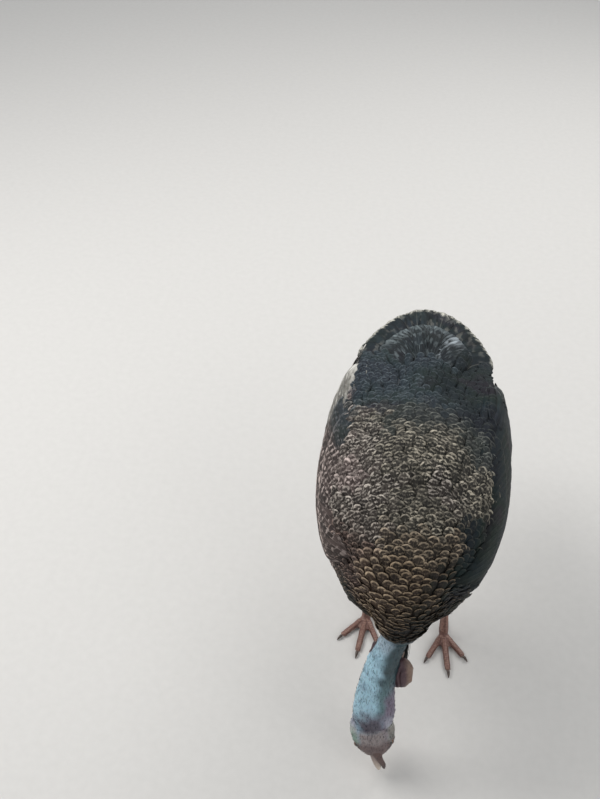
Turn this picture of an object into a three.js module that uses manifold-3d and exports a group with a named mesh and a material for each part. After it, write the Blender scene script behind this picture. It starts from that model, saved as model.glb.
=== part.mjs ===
// A life-size domestic turkey tom, standing and feeding with its head down.
// Millimetres, +Z up. The bird faces -Y, and its left side is +X. The solids carry the
// outline of the plumage out to the feather tips, divided where a person names the parts.
import * as THREE from "three";
import Module from "manifold-3d";
import { ParametricGeometry } from "three/addons/geometries/ParametricGeometry.js";
import { mergeVertices } from "three/addons/utils/BufferGeometryUtils.js";

const wasm = await Module();
wasm.setup();

// ---------------------------------------------------------------- driving dimensions
const FAN_CLEARANCE = 2; // how much more than the gap a steep sheet is grown by
const SLIVER = 0.2; // facets that stray less than this are joined
const GAP = 0.6; // clearance left where one piece meets its neighbour
const HEAD_AT = [-25, -284, 79]; // middle of the skull
const HEAD_WIDTH = 76; // across the swollen skin behind the eyes
const HEAD_PITCH = 66; // degrees that the bill points below level
const HEAD_YAW = 6; // degrees that the bill turns to the bird's left
const HEAD_LEAN = -11; // degrees that the bill swings to the bird's left as it hangs
const EYE_RADIUS = 6.4;
const SHANK_LENGTH = 158;
const STANCE = { left: { x: 88, y: 4, turn: 9 }, right: { x: -66, y: 22, turn: -6 } };
const TOE_HEIGHT = 13; // a toe's thickness at its root
// Where a wing is parted: behind the small coverts, and before the long tips.
const WING_CUTS = { front: -85, rear: 120, middle: 430, lean: 25 };
const TIP_POINTS = 3; // points round each rounded feather tip
// The tail is a half-spread fan of feathers from one root.
const TAIL = { root: 118, feathers: 18, spread: 29, middle: 322, outer: 285, notch: 5 };
const COVERT = { root: 95, feathers: 14, spread: 24, middle: 268, outer: 232, notch: 5 };

// How far a cutting prism reaches: past the back's height, and past half the width.
const PRISM_DEPTH = { upright: 700, sideways: 400 };

const X_AXIS = new THREE.Vector3(1, 0, 0);
const { sin, cos, abs, sign, min, max, PI } = Math;
const rad = THREE.MathUtils.degToRad;
const lerp = THREE.MathUtils.lerp;

// ---------------------------------------------------------------- making solids
function solidOf(geometry) {
  for (const name of ["normal", "uv"]) geometry.deleteAttribute(name);
  const merged = mergeVertices(geometry, 1e-3);
  const corners = merged.index.array;
  const kept = [];
  for (let i = 0; i < corners.length; i += 3) {
    const [a, b, c] = corners.slice(i, i + 3);
    if (a !== b && b !== c && c !== a) kept.push(a, b, c);
  }
  const solid = new wasm.Manifold(
    new wasm.Mesh({
      numProp: 3,
      vertProperties: new Float32Array(merged.attributes.position.array),
      triVerts: new Uint32Array(kept),
    }),
  );
  return solid.volume() < 0 ? flipped(merged, kept) : solid;
}

function flipped(merged, corners) {
  const turned = [];
  for (let i = 0; i < corners.length; i += 3)
    turned.push(corners[i], corners[i + 2], corners[i + 1]);
  return new wasm.Manifold(
    new wasm.Mesh({
      numProp: 3,
      vertProperties: new Float32Array(merged.attributes.position.array),
      triVerts: new Uint32Array(turned),
    }),
  );
}

// A smooth value from a list of evenly spaced ones.
function smoothValue(values, t) {
  const place = t * (values.length - 1);
  const i = min(Math.floor(place), values.length - 2);
  const f = place - i;
  const p = [i - 1, i, i + 1, i + 2].map((k) => values[min(max(k, 0), values.length - 1)]);
  const slope = p[2] - p[0];
  const bend = 2 * p[0] - 5 * p[1] + 4 * p[2] - p[3];
  const twist = 3 * (p[1] - p[2]) + p[3] - p[0];
  return p[1] + 0.5 * f * (slope + f * (bend + f * twist));
}

// A line listed from its root forwards is swept in reverse, as the sweep's note explains.
const reversed = (stations) => [...stations].reverse();

// Sweeps a section along a smooth line of stations. Each station is [x, y, z, ...sizes], and
// section(sizes, angle, grow) gives how far the surface lies to the side and up from the line.
// The section's first axis keeps to the X direction, and its second points up when the line
// runs towards +Y, and down when it runs towards -Y.
function sweep(stations, section, { rings, around, grow = 0 }) {
  const line = new THREE.CatmullRomCurve3(
    stations.map(([x, y, z]) => new THREE.Vector3(x, y, z)),
  );
  const columns = stations[0].slice(3).map((_, k) => stations.map((s) => s[3 + k]));
  const geometry = new ParametricGeometry(
    (u, v, target) => {
      const row = Math.round(v * rings);
      const t = min(max((row - 1) / (rings - 2), 0), 1);
      const along = line.getTangent(t);
      const across = X_AXIS.clone().addScaledVector(along, -along.x).normalize();
      const up = across.clone().cross(along);
      target.copy(line.getPoint(t));
      if (row <= 1) target.addScaledVector(along, -grow);
      if (row >= rings - 1) target.addScaledVector(along, grow);
      const pole = row === 0 || row === rings;
      const sizes = columns.map((c) => smoothValue(c, t));
      const angle = (u % 1) * 2 * PI;
      const [a, b] = pole ? [0, 0] : section(sizes, angle, grow);
      target.addScaledVector(across, a);
      target.addScaledVector(up, b);
    },
    around,
    rings,
  );
  return solidOf(geometry);
}

const power = (value, e) => sign(value) * abs(value) ** e;

// An oval section: half its width, its height above and below the line, and how square it is.
function oval([wide, above, below, square = 2], angle, grow) {
  const e = 2 / square;
  const rise = power(sin(angle), e);
  return [(wide + grow) * power(cos(angle), e), rise * ((rise > 0 ? above : below) + grow)];
}

// An arched sheet's section: half its width, half its thickness and the arch's radius.
function fan([wide, thick, arch], angle, grow) {
  const s = (wide + grow) * cos(angle);
  return [s, (thick + grow * FAN_CLEARANCE) * sin(angle) - (s * s) / (2 * arch)];
}

// An upright or sideways prism with a closed outline: plan outlines are [x, y] and rise along
// Z, side outlines are [y, z] and reach out along X.
function planPrism(outline) {
  return solidOf(extruded(outline, PRISM_DEPTH.upright));
}

function sidePrism(outline, sideways) {
  const geometry = extruded(outline, PRISM_DEPTH.sideways);
  geometry.applyMatrix4(
    new THREE.Matrix4().makeBasis(
      new THREE.Vector3(0, 1, 0), new THREE.Vector3(0, 0, 1), new THREE.Vector3(1, 0, 0),
    ),
  );
  if (sideways < 0) geometry.translate(-PRISM_DEPTH.sideways, 0, 0);
  return solidOf(geometry);
}

function extruded(outline, depth) {
  const shape = new THREE.Shape(outline.map(([u, v]) => new THREE.Vector2(u, v)));
  return new THREE.ExtrudeGeometry(shape, { depth, bevelEnabled: false, steps: 1 });
}

function largest(solid) {
  return solid.decompose().sort((a, b) => b.volume() - a.volume())[0];
}

function cut(solid, ...others) {
  return largest(others.reduce((left, other) => left.subtract(other), solid));
}

// ---------------------------------------------------------------- trunk, neck and head
// Stations of the trunk: place along Y, the back's height, the belly's height, half the width.
const TRUNK = [
  [-248, 452, 420, 14],
  [-234, 486, 372, 56],
  [-206, 518, 316, 94],
  [-165, 546, 270, 120],
  [-110, 563, 246, 136],
  [-50, 571, 250, 143],
  [10, 571, 268, 144],
  [70, 564, 300, 142],
  [125, 553, 342, 136],
  [170, 541, 390, 120],
  [205, 529, 430, 94],
  [228, 515, 470, 48],
];

function trunk(grow) {
  const stations = TRUNK.map(([y, back, belly, wide]) => [
    0, y, (back + belly) / 2, wide, (back - belly) / 2, (back - belly) / 2, 2.1,
  ]);
  return sweep(stations, oval, { rings: 15, around: 18, grow });
}

// The neck runs from the back of the head up into the trunk: place, half width, depth of the
// nape side and of the throat side.
const BARE_NECK = [
  [-28, -276, 111, 35, 26, 29],
  [-28, -267, 150, 35.5, 28, 31],
  [-27, -258, 205, 28, 26, 29],
  [-20, -252, 250, 25, 25, 28],
  [-8, -248, 288, 22, 24, 27],
  [-1, -243, 322, 22, 24, 27],
];
const FEATHERED_NECK = [
  [-1, -244, 316, 33, 31, 35],
  [2, -241, 345, 46, 42, 46],
  [4, -228, 392, 68, 56, 60],
  [2, -200, 432, 90, 68, 74],
  [0, -160, 462, 106, 72, 84],
  [0, -112, 478, 116, 74, 90],
];
const featheredNeck = (grow) =>
  sweep(FEATHERED_NECK, oval, { rings: 10, around: 18, grow });
// The trunk and the feathered neck flow into each other, and are parted along one plane.
const body = (grow) => trunk(grow).add(featheredNeck(grow));
const NECK_PLANE = {
  point: [0, -148, 520],
  normal: new THREE.Vector3(0, -0.94, -0.34).normalize(),
};
function beyondNeckPlane(solid, side) {
  const { point, normal } = NECK_PLANE;
  const facing = normal.clone().multiplyScalar(side);
  const reach = facing.dot(new THREE.Vector3(...point)) + GAP / 2;
  return largest(solid.trimByPlane(facing.toArray(), reach));
}
const bareNeck = (grow) => sweep(BARE_NECK, oval, { rings: 9, around: 16, grow });

// The head is made facing -Y round its own origin, then turned down to the ground.
const headPlace = new THREE.Matrix4().compose(
  new THREE.Vector3(...HEAD_AT),
  new THREE.Quaternion().setFromEuler(
    new THREE.Euler(rad(HEAD_PITCH), rad(HEAD_LEAN), rad(HEAD_YAW), "YZX"),
  ),
  new THREE.Vector3(1, 1, 1),
);
const inHead = (solid) => solid.transform(headPlace.elements);

// Skull sections from the bill's root back to the nape: half width, crown height, throat depth.
const half = HEAD_WIDTH / 2;
const SKULL = [
  [0, -36, 1, half * 0.38, 9, 11],
  [0, -30, 1, half * 0.56, 14.5, 15],
  [0, -20, 0, half * 0.79, 20, 20],
  [0, -8, 0, half * 0.93, 23, 22],
  [0, 5, 0, half * 0.99, 24, 24],
  [0, 18, 0, half, 23.5, 25],
  [0, 30, 0, half * 0.96, 20, 25],
  [0, 38, 0, half * 0.86, 15, 22],
];

const skull = (grow) => inHead(sweep(SKULL, oval, { rings: 9, around: 14, grow }));

// The upper half of the bill hooks down over the lower half.
const BILL_TOP = [
  [0, -31, 3, 11, 9, 3],
  [0, -43, 3, 9.6, 8, 3],
  [0, -55, 1.5, 7.2, 6.2, 3],
  [0, -65, -1.5, 4.4, 4.2, 3],
  [0, -72, -6, 1.4, 1.8, 2],
];
const BILL_BOTTOM = [
  [0, -29, -5, 9.8, 3.6, 5],
  [0, -41, -4.6, 8.8, 3.4, 4.6],
  [0, -52, -4.4, 6.8, 2.8, 3.8],
  [0, -61, -4.6, 3.9, 1.8, 2.2],
  [0, -66, -5, 1.4, 0.8, 0.8],
];

const billTop = (grow) => inHead(sweep(reversed(BILL_TOP), oval, { rings: 8, around: 10, grow }));
const billBottom = (grow) => inHead(sweep(reversed(BILL_BOTTOM), oval, { rings: 7, around: 10, grow }));

// The snood is the soft finger that hangs from the forehead beside the bill.
const SNOOD = [
  [1, -25, 16.5, 6.4, 4.4, 4.4],
  [5, -36, 15, 7, 5, 5],
  [8.5, -48, 10, 6.6, 5, 5],
  [9.5, -60, 1.5, 5.8, 4.8, 4.8],
  [8.5, -74, -9, 3, 2.8, 2.8],
];
const snood = (grow) => inHead(sweep(reversed(SNOOD), oval, { rings: 8, around: 8, grow }));

// The dewlap is a thin fold of skin that hangs from the throat.
const DEWLAP = [
  [0, -24, -17, 3, 3, 3],
  [0, -16, -21, 4.2, 6, 13],
  [0, -2, -23, 5, 8, 21],
  [0, 14, -25, 5.4, 8, 22],
  [0, 30, -26, 5, 7, 15],
  [0, 42, -27, 3.6, 5, 6],
];
const dewlap = (grow) => inHead(sweep(DEWLAP, oval, { rings: 8, around: 10, grow }));

function eye(sideways, grow) {
  const ball = new THREE.SphereGeometry(EYE_RADIUS + grow, 10, 7);
  ball.rotateZ(PI / 2);
  ball.translate(sideways * (half * 0.855 - EYE_RADIUS * 0.62), -10, 6);
  return inHead(solidOf(ball));
}

// Fleshy lobes where the bare neck meets the feathers, on the throat side.
const LOBES = {
  caruncle_left: { at: [13, -244, 213], size: [17, 17, 33] },
  caruncle_front: { at: [-4, -214, 226], size: [17, 13, 24] },
  caruncle_right: { at: [-31, -222, 240], size: [10, 12, 16] },
};
function lobe({ at, size }, grow) {
  const ball = new THREE.SphereGeometry(1, 10, 7);
  ball.rotateX(PI / 2);
  ball.scale(...size.map((s) => s + grow));
  ball.translate(...at);
  return solidOf(ball);
}

// The beard is a hank of bristles that hangs from the middle of the breast.
const BEARD = [
  [12, -184, 302, 8, 6, 6],
  [13, -201, 280, 8, 6, 6],
  [13, -206, 240, 7, 5.5, 5.5],
  [13, -203, 200, 6, 5, 5],
  [13, -200, 170, 4, 3.5, 3.5],
];
const beard = (grow) => sweep(BEARD, oval, { rings: 8, around: 8, grow });

// ---------------------------------------------------------------- wings and tail
// A folded wing is a curved plate round the trunk: place along Y, the middle's height, half
// the width over both wings, half the height, and how thick the plate is there.
const WING_HULL = [
  [-250, 440, 62, 70, 28],
  [-215, 430, 100, 112, 28],
  [-170, 418, 130, 142, 28],
  [-110, 412, 152, 160, 28],
  [-50, 412, 164, 166, 30],
  [10, 418, 168, 162, 32],
  [70, 428, 169, 150, 32],
  [130, 440, 164, 132, 26],
  [190, 452, 152, 110, 18],
  [250, 460, 136, 88, 12],
  [325, 466, 116, 62, 8],
];
const wingHull = (grow, inner) => {
  const stations = WING_HULL.map(([y, z, wide, high, thick]) => {
    const inset = inner ? thick : 0;
    return [0, y, z, wide - inset, high - inset, high - inset];
  });
  return sweep(stations, oval, { rings: 13, around: 24, grow });
};

// From the shoulder back over the top to the tip, then forward along the lower edge.
const WING_TOP = [
  [-222, 432], [-200, 474], [-150, 512], [-60, 534], [40, 536], [130, 526], [215, 505], [296, 474],
];
const WING_UNDER = [
  [296, 474], [250, 428], [175, 385], [95, 347], [15, 322], [-60, 311], [-130, 322], [-190, 362],
  [-222, 432],
];
// Each feather's tip takes three points of the lower edge, and the steps fade out over
// the last part before the wrist.
const WING_NOTCH = { count: 19, points: 3, depth: 7, fade: 0.45 };
// The left wing hangs a little further forward and lower than the right, whose wrist is
// also drawn in.
const WING_SHIFT = {
  left: { back: -4, up: -6, tuck: 0 },
  right: { back: 16, up: 4, tuck: 20 },
};
const WRIST = -WING_TOP[0][0];

// The lower edge is stepped where one feather's tip ends short of the next.
function wingOutline(sideways, grow) {
  const { back, up, tuck } = sideways > 0 ? WING_SHIFT.left : WING_SHIFT.right;
  const drawnIn = (y) => back + tuck * (min(y, 0) / WRIST) ** 2;
  const curve = (points) =>
    new THREE.CatmullRomCurve3(points.map(([y, z]) => new THREE.Vector3(y, z, 0)), false);
  const top = curve(WING_TOP).getPoints(16);
  const steps = WING_NOTCH.count * WING_NOTCH.points;
  const under = curve(WING_UNDER);
  const low = [];
  for (let i = 1; i < steps; i++) {
    const point = under.getPoint(i / steps);
    const fade = min(1, (steps - i) / (steps * WING_NOTCH.fade));
    const along = under.getTangent(i / steps);
    const out = WING_NOTCH.depth * fade * (1 - (i % WING_NOTCH.points) / 2);
    low.push(new THREE.Vector3(point.x + along.y * out, point.y - along.x * out, 0));
  }
  const outline = [...top, ...low].map(({ x, y }) => [x + drawnIn(x), y + up]);
  return grow ? widened(outline, grow) : outline;
}

// Moves an outline outwards from its middle. Where the edge runs nearly along the way out
// it clears less, so it is moved by more than the gap.
const WIDENING = 3;
function widened(outline, grow) {
  const centre = outline.reduce(([u, v], [x, y]) => [u + x, v + y], [0, 0]);
  const [cu, cv] = centre.map((value) => value / outline.length);
  return outline.map(([u, v]) => {
    const share = (grow * WIDENING) / Math.hypot(u - cu, v - cv);
    return [u + (u - cu) * share, v + (v - cv) * share];
  });
}

function wing(sideways, grow) {
  const plate = wingHull(grow, false).subtract(wingHull(-grow, true));
  return plate.intersect(sidePrism(wingOutline(sideways, grow), sideways));
}

// A fan's outline in plan: rounded feather tips round an arc, and straight sides.
const FAN_ROOT = 26; // half the width that a fan springs from
function fanOutline({ root, feathers, spread, middle, outer, notch }, grow) {
  const points = [[FAN_ROOT + grow, root - grow], [-FAN_ROOT - grow, root - grow]];
  const steps = feathers * TIP_POINTS;
  for (let i = 0; i <= steps; i++) {
    const across = (2 * i) / steps - 1;
    const angle = rad(spread) * across;
    const tip = abs(sin((PI * i) / TIP_POINTS));
    const reach = lerp(middle, outer, across * across) - notch * (1 - tip) + grow;
    points.push([reach * sin(angle) + grow * sign(across), root + reach * cos(angle)]);
  }
  return points;
}

// Stations of an arched sheet: place, half the width, half the thickness, radius of the arch.
const TAIL_SHEET = [
  [0, 120, 510, 60, 10, 60],
  [0, 200, 504, 92, 9, 85],
  [0, 280, 495, 124, 8, 105],
  [0, 360, 483, 152, 6, 118],
  [0, 450, 468, 178, 4, 130],
];
const COVERT_SHEET = [
  [0, 95, 541, 70, 12, 75],
  [0, 160, 535, 92, 12, 84],
  [0, 240, 525, 110, 10, 96],
  [0, 370, 501, 130, 3.5, 116],
];
const UNDERTAIL = [
  [0, 140, 452, 62, 30, 30],
  [0, 190, 458, 64, 26, 26],
  [0, 250, 462, 58, 15, 17],
  [0, 305, 464, 40, 5, 6],
];
const sheet = (stations, plan, grow) => {
  const arched = sweep(stations, fan, { rings: 7, around: 22, grow });
  return arched.intersect(planPrism(fanOutline(plan, grow)));
};
const tail = (grow) => sheet(TAIL_SHEET, TAIL, grow);
const covertsAbove = (grow) => sheet(COVERT_SHEET, COVERT, grow);
const covertsBelow = (grow) => sweep(UNDERTAIL, oval, { rings: 8, around: 14, grow });

// ---------------------------------------------------------------- legs
// Each leg hangs in a frame at its foot: +Y back, and turned by the stance.
function legPlace({ x, y, turn }) {
  return new THREE.Matrix4().makeTranslation(x, y, 0).multiply(
    new THREE.Matrix4().makeRotationZ(rad(turn)),
  );
}

const HOCK = [0, 44, SHANK_LENGTH + 14];
// The feathered thigh comes out of the flank and narrows to the hock.
const THIGH = [
  [0, -2, 372, 44, 50, 52],
  [0, 6, 315, 46, 54, 54],
  [0, 20, 258, 38, 44, 46],
  [0, 34, 212, 22, 25, 26],
  [0, HOCK[1] - 1, HOCK[2] + 2, 11.5, 12.5, 12.5],
];
const SHANK = [
  [0, HOCK[1] + 1, HOCK[2], 10.5, 11.5, 12],
  [0, HOCK[1] - 2, HOCK[2] - 14, 9.5, 11, 11.5],
  [0, 30, 112, 7, 8.6, 8.6],
  [0, 15, 58, 7.4, 8.8, 9],
  [0, 5, 24, 9.5, 9.5, 11],
  [0, 2, 11, 10, 9, 11],
];
const SPUR = [
  [-5, 24, 66, 4, 4.4, 4.4],
  [-11, 29, 65, 3.2, 3.6, 3.6],
  [-17, 33, 67, 2, 2.2, 2.2],
  [-20, 36, 71, 0.6, 0.6, 0.6],
];
// The toes: turn from straight ahead in degrees, length without the claw, half width.
const TOES = {
  inner: { turn: 32, length: 58, wide: 7 },
  middle: { turn: 0, length: 80, wide: 7.6 },
  outer: { turn: -34, length: 62, wide: 7 },
  hind: { turn: 166, length: 26, wide: 5.4 },
};
const CLAW_LENGTH = { inner: 13, middle: 15, outer: 13, hind: 12 };

const thigh = (place, grow) =>
  sweep(THIGH, oval, { rings: 7, around: 12, grow }).transform(place.elements);
const shank = (place, grow) =>
  sweep(SHANK, oval, { rings: 8, around: 10, grow }).transform(place.elements);
const spur = (place, inward, grow) => {
  const stations = SPUR.map(([x, ...rest]) => [x * inward, ...rest]);
  return sweep(stations, oval, { rings: 5, around: 7, grow }).transform(place.elements);
};

// Everything below the floor is trimmed, which leaves each toe a small flat to stand on.
function aboveFloor(solid) {
  return largest(solid.trimByPlane([0, 0, 1], 0));
}

function toePlace(place, turn) {
  return place.clone().multiply(new THREE.Matrix4().makeRotationZ(rad(turn)));
}

// A toe runs along -Y from the foot, with three low pads along its sole.
function toe(place, name, grow) {
  const { turn, length, wide } = TOES[name];
  const lift = name === "hind" ? 7 : 0;
  const tall = TOE_HEIGHT / 2;
  const at = (share, drop) => [0, -3 - share * length, tall + lift * (1 - share) - drop];
  const stations = [
    [...at(0, 0), wide, tall * 0.95, tall * 1.2],
    [...at(0.2, 0.6), wide * 1.02, tall * 0.84, tall * 1.12],
    [...at(0.42, 1.2), wide * 0.86, tall * 0.74, tall * 0.78],
    [...at(0.62, 1.4), wide * 0.94, tall * 0.72, tall],
    [...at(0.82, 1.8), wide * 0.8, tall * 0.62, tall * 0.7],
    [...at(0.97, 2), wide * 0.8, tall * 0.56, tall * 0.9],
    [...at(1, 2), wide * 0.5, tall * 0.4, tall * 0.4],
  ];
  const made = sweep(reversed(stations), oval, { rings: 7, around: 8, grow });
  return made.transform(toePlace(place, turn).elements);
}

function claw(place, name, grow) {
  const { turn, length } = TOES[name];
  const long = CLAW_LENGTH[name];
  const root = -length - 3 - 2 * GAP;
  const stations = [
    [0, root, 5.4, 3.6, 3.2, 3.2],
    [0, root - long * 0.35, 5.4, 3.2, 2.8, 2.8],
    [0, root - long * 0.72, 3.8, 2.2, 1.8, 1.8],
    [0, root - long, 1.4, 0.7, 0.6, 0.6],
  ];
  const made = sweep(reversed(stations), oval, { rings: 5, around: 7, grow });
  return made.transform(toePlace(place, turn).elements);
}

// ---------------------------------------------------------------- materials
const finish = (color, roughness, metalness = 0) =>
  new THREE.MeshStandardMaterial({ color, roughness, metalness });
const plumage = {
  mantle: finish(0x5c4c3a, 0.8),
  body: finish(0x3a342d, 0.75),
  wing: finish(0x4c463e, 0.7),
  tail: finish(0x1d2428, 0.6),
  thigh: finish(0x2e2a26, 0.8),
};
const paleBlueSkin = finish(0x9cb4bf, 0.55);
const mauveSkin = finish(0x8d7b8c, 0.55);
const redSkin = finish(0xa4474a, 0.5);
const horn = finish(0x8d7f72, 0.45);
const eyeGloss = finish(0x1a120c, 0.08);
const legScale = finish(0x8a5a4c, 0.55);
const clawHorn = finish(0x3c332d, 0.4);
const bristle = finish(0x0e0d0c, 0.6);

// ---------------------------------------------------------------- the bird
const bird = new THREE.Group();
bird.name = "turkey";

// Adds a solid, given in the bird's frame, to a nested group as its own named mesh.
function add(group, name, solid, material) {
  const { vertProperties, triVerts, numProp } = solid.simplify(SLIVER).getMesh();
  const count = vertProperties.length / numProp;
  const places = new Float32Array(count * 3);
  for (let i = 0; i < count; i++)
    places.set(vertProperties.subarray(i * numProp, i * numProp + 3), i * 3);
  const geometry = new THREE.BufferGeometry();
  geometry.setAttribute("position", new THREE.BufferAttribute(places, 3));
  geometry.setIndex(new THREE.BufferAttribute(new Uint32Array(triVerts), 1));
  geometry.applyMatrix4(group.matrix.clone().invert());
  geometry.computeVertexNormals();
  const mesh = new THREE.Mesh(geometry, material);
  mesh.name = name;
  group.add(mesh);
}

function frame(name, matrix = new THREE.Matrix4()) {
  const group = new THREE.Group();
  group.name = name;
  group.applyMatrix4(matrix);
  group.updateMatrix();
  bird.add(group);
  return group;
}

function addHead() {
  const group = frame("head_frame", headPlace);
  const eyes = [eye(1, GAP), eye(-1, GAP)];
  const bills = [billTop(GAP), billBottom(GAP)];
  add(group, "head", cut(skull(0), ...eyes, ...bills), mauveSkin);
  add(group, "eye_left", eye(1, 0), eyeGloss);
  add(group, "eye_right", eye(-1, 0), eyeGloss);
  add(group, "bill_upper", billTop(0), horn);
  add(group, "bill_lower", cut(billBottom(0), billTop(GAP)), horn);
  add(group, "snood", cut(snood(0), skull(GAP), billTop(GAP), billBottom(GAP)), redSkin);
  add(group, "dewlap", cut(dewlap(0), skull(GAP), billBottom(GAP), bareNeck(GAP)), redSkin);
}

function addNeck() {
  const group = frame("neck_frame");
  add(group, "neck_upper", cut(bareNeck(0), skull(GAP), body(GAP)), paleBlueSkin);
  for (const [name, shape] of Object.entries(LOBES))
    add(group, name, cut(lobe(shape, 0), bareNeck(GAP), body(GAP), beard(GAP)), redSkin);
  add(group, "neck_lower", beyondNeckPlane(cut(body(0), bareNeck(GAP)), 1), plumage.mantle);
}

function addTrunk(places) {
  const group = frame("trunk_frame");
  const thighs = [thigh(places.left, GAP), thigh(places.right, GAP)];
  const neighbours = [covertsAbove(GAP), covertsBelow(GAP), tail(GAP), ...thighs];
  add(group, "trunk", beyondNeckPlane(cut(body(0), ...neighbours), -1), plumage.body);
  add(group, "beard", cut(beard(0), body(GAP)), bristle);
}

function addWing(side, sideways) {
  const group = frame("wing_frame_" + side);
  const { front, rear, lean } = WING_CUTS;
  const slant = new THREE.Vector3(0, cos(rad(lean)), sin(rad(lean)));
  const at = (y) => slant.y * y + slant.z * WING_CUTS.middle;
  const before = (solid, y) =>
    largest(solid.trimByPlane(slant.clone().negate().toArray(), -at(y) + GAP / 2));
  const behind = (solid, y) => largest(solid.trimByPlane(slant.toArray(), at(y) + GAP / 2));
  const whole = cut(wing(sideways, 0), body(GAP), covertsAbove(GAP), tail(GAP));
  add(group, `wing_${side}_shoulder`, before(whole, front), plumage.wing);
  add(group, `wing_${side}_secondaries`, before(behind(whole, front), rear), plumage.wing);
  add(group, `wing_${side}_primaries`, behind(whole, rear), plumage.wing);
}

function addTail() {
  const group = frame("tail_frame");
  add(group, "tail_feathers", tail(0), plumage.tail);
  add(group, "tail_coverts", cut(covertsAbove(0), tail(GAP)), plumage.tail);
  add(group, "undertail_coverts", cut(covertsBelow(0), tail(GAP)), plumage.thigh);
}

function addLeg(side, place) {
  const group = frame("leg_frame_" + side, place);
  const inward = side === "left" ? 1 : -1;
  add(group, `thigh_${side}`, cut(thigh(place, 0), wing(inward, GAP)), plumage.thigh);
  const toeNames = Object.keys(TOES);
  add(group, `shank_${side}`, cut(shank(place, 0), thigh(place, GAP)), legScale);
  add(group, `spur_${side}`, cut(spur(place, inward, 0), shank(place, GAP)), clawHorn);
  const earlier = [shank(place, GAP)];
  for (const name of toeNames) {
    const made = cut(toe(place, name, 0), ...earlier);
    add(group, `toe_${side}_${name}`, aboveFloor(made), legScale);
    add(group, `claw_${side}_${name}`, aboveFloor(claw(place, name, 0)), clawHorn);
    earlier.push(toe(place, name, GAP));
  }
}

const places = { left: legPlace(STANCE.left), right: legPlace(STANCE.right) };
addHead();
addNeck();
addTrunk(places);
addWing("left", 1);
addWing("right", -1);
addTail();
addLeg("left", places.left);
addLeg("right", places.right);

// The frame's origin is the middle of the bird's box, on the floor.
const box = new THREE.Box3().setFromObject(bird, true);
const middle = box.getCenter(new THREE.Vector3());
bird.position.set(-middle.x, -middle.y, -box.min.z);

export default bird;
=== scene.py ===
import math

import bmesh
import bpy
import numpy as np
from mathutils import Matrix, Vector
from mathutils.bvhtree import BVHTree


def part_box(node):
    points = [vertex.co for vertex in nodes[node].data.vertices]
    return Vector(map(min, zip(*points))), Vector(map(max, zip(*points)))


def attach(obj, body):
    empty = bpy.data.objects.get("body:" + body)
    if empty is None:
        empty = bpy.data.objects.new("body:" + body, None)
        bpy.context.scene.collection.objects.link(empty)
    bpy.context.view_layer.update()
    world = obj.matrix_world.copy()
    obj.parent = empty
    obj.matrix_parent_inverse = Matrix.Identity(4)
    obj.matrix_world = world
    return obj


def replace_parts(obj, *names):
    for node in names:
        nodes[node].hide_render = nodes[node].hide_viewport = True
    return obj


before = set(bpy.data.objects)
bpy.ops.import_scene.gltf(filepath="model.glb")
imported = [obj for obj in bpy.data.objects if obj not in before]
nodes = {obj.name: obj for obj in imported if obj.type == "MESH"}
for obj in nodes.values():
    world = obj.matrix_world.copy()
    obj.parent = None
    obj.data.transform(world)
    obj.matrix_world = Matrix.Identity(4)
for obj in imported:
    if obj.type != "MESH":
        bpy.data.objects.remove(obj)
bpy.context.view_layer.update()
sides = {"left": 1, "right": -1}  # the bird faces -Y, so its left is +X
millimetre = 0.001


# Small helpers.
def shade(red, green, blue):  # a display colour as the linear one that nodes take
    return tuple((c / 255 / 12.92) if c < 10 else ((c / 255 + 0.055) / 1.055) ** 2.4
                 for c in (red, green, blue)) + (1.0,)


def middleOf(name):
    low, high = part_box(name)
    return (low + high) / 2


def unit(vectors):
    return vectors / np.maximum(np.linalg.norm(vectors, axis=-1, keepdims=True), 1e-9)


def smooth(value, low, high):
    t = np.clip((value - low) / (high - low), 0, 1)
    return t * t * (3 - 2 * t)


def dot(a, b):
    return (a * b).sum(axis=-1, keepdims=True)


def ripple(points, size, seed):  # a smooth uneven value from -1 to 1 at each point
    dice = np.random.default_rng(seed)
    total = np.zeros(len(points))
    for _ in range(7):
        direction = unit(dice.normal(size=3)) * dice.uniform(0.7, 1.5)
        total += np.sin(points @ direction * (2 * math.pi / size) + dice.uniform(0, 2 * math.pi))
    return total / 3.5


def nodeMesh(name, grow=0.0):  # a merged copy of a CAD node, as arrays
    work = bmesh.new()
    work.from_mesh(nodes[name].data)
    bmesh.ops.remove_doubles(work, verts=work.verts, dist=1e-6)
    bmesh.ops.triangulate(work, faces=work.faces)
    work.normal_update()
    places = np.array([v.co + v.normal * grow for v in work.verts])
    corners = np.array([[v.index for v in f.verts] for f in work.faces])
    work.free()
    return places, corners


def joinedNodes(names, grow=0.0):
    places, corners, owners, first = [], [], [], 0
    for name in names:
        place, corner = nodeMesh(name, grow)
        places.append(place)
        corners.append(corner + first)
        owners += [name] * len(corner)
        first += len(place)
    return np.vstack(places), np.vstack(corners), owners


def treeOf(places, corners):
    return BVHTree.FromPolygons([Vector(p) for p in places], [tuple(map(int, c)) for c in corners])


def newObject(name, mesh, material=None):
    piece = bpy.data.objects.new(name, mesh)
    bpy.context.scene.collection.objects.link(piece)
    if material:
        mesh.materials.append(material)
    return piece


def finished(name, source):  # the evaluated object as a plain mesh, its modifiers gone
    graph = bpy.context.evaluated_depsgraph_get()
    mesh = bpy.data.meshes.new_from_object(source.evaluated_get(graph))
    bpy.data.objects.remove(source)
    mesh.name = name
    return mesh


def readPlaces(mesh):
    flat = np.empty(len(mesh.vertices) * 3, np.float32)
    mesh.vertices.foreach_get("co", flat)
    return flat.reshape(-1, 3).astype(float)


def readNormals(mesh):
    flat = np.empty(len(mesh.vertices) * 3, np.float32)
    mesh.vertices.foreach_get("normal", flat)
    return flat.reshape(-1, 3).astype(float)


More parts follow.
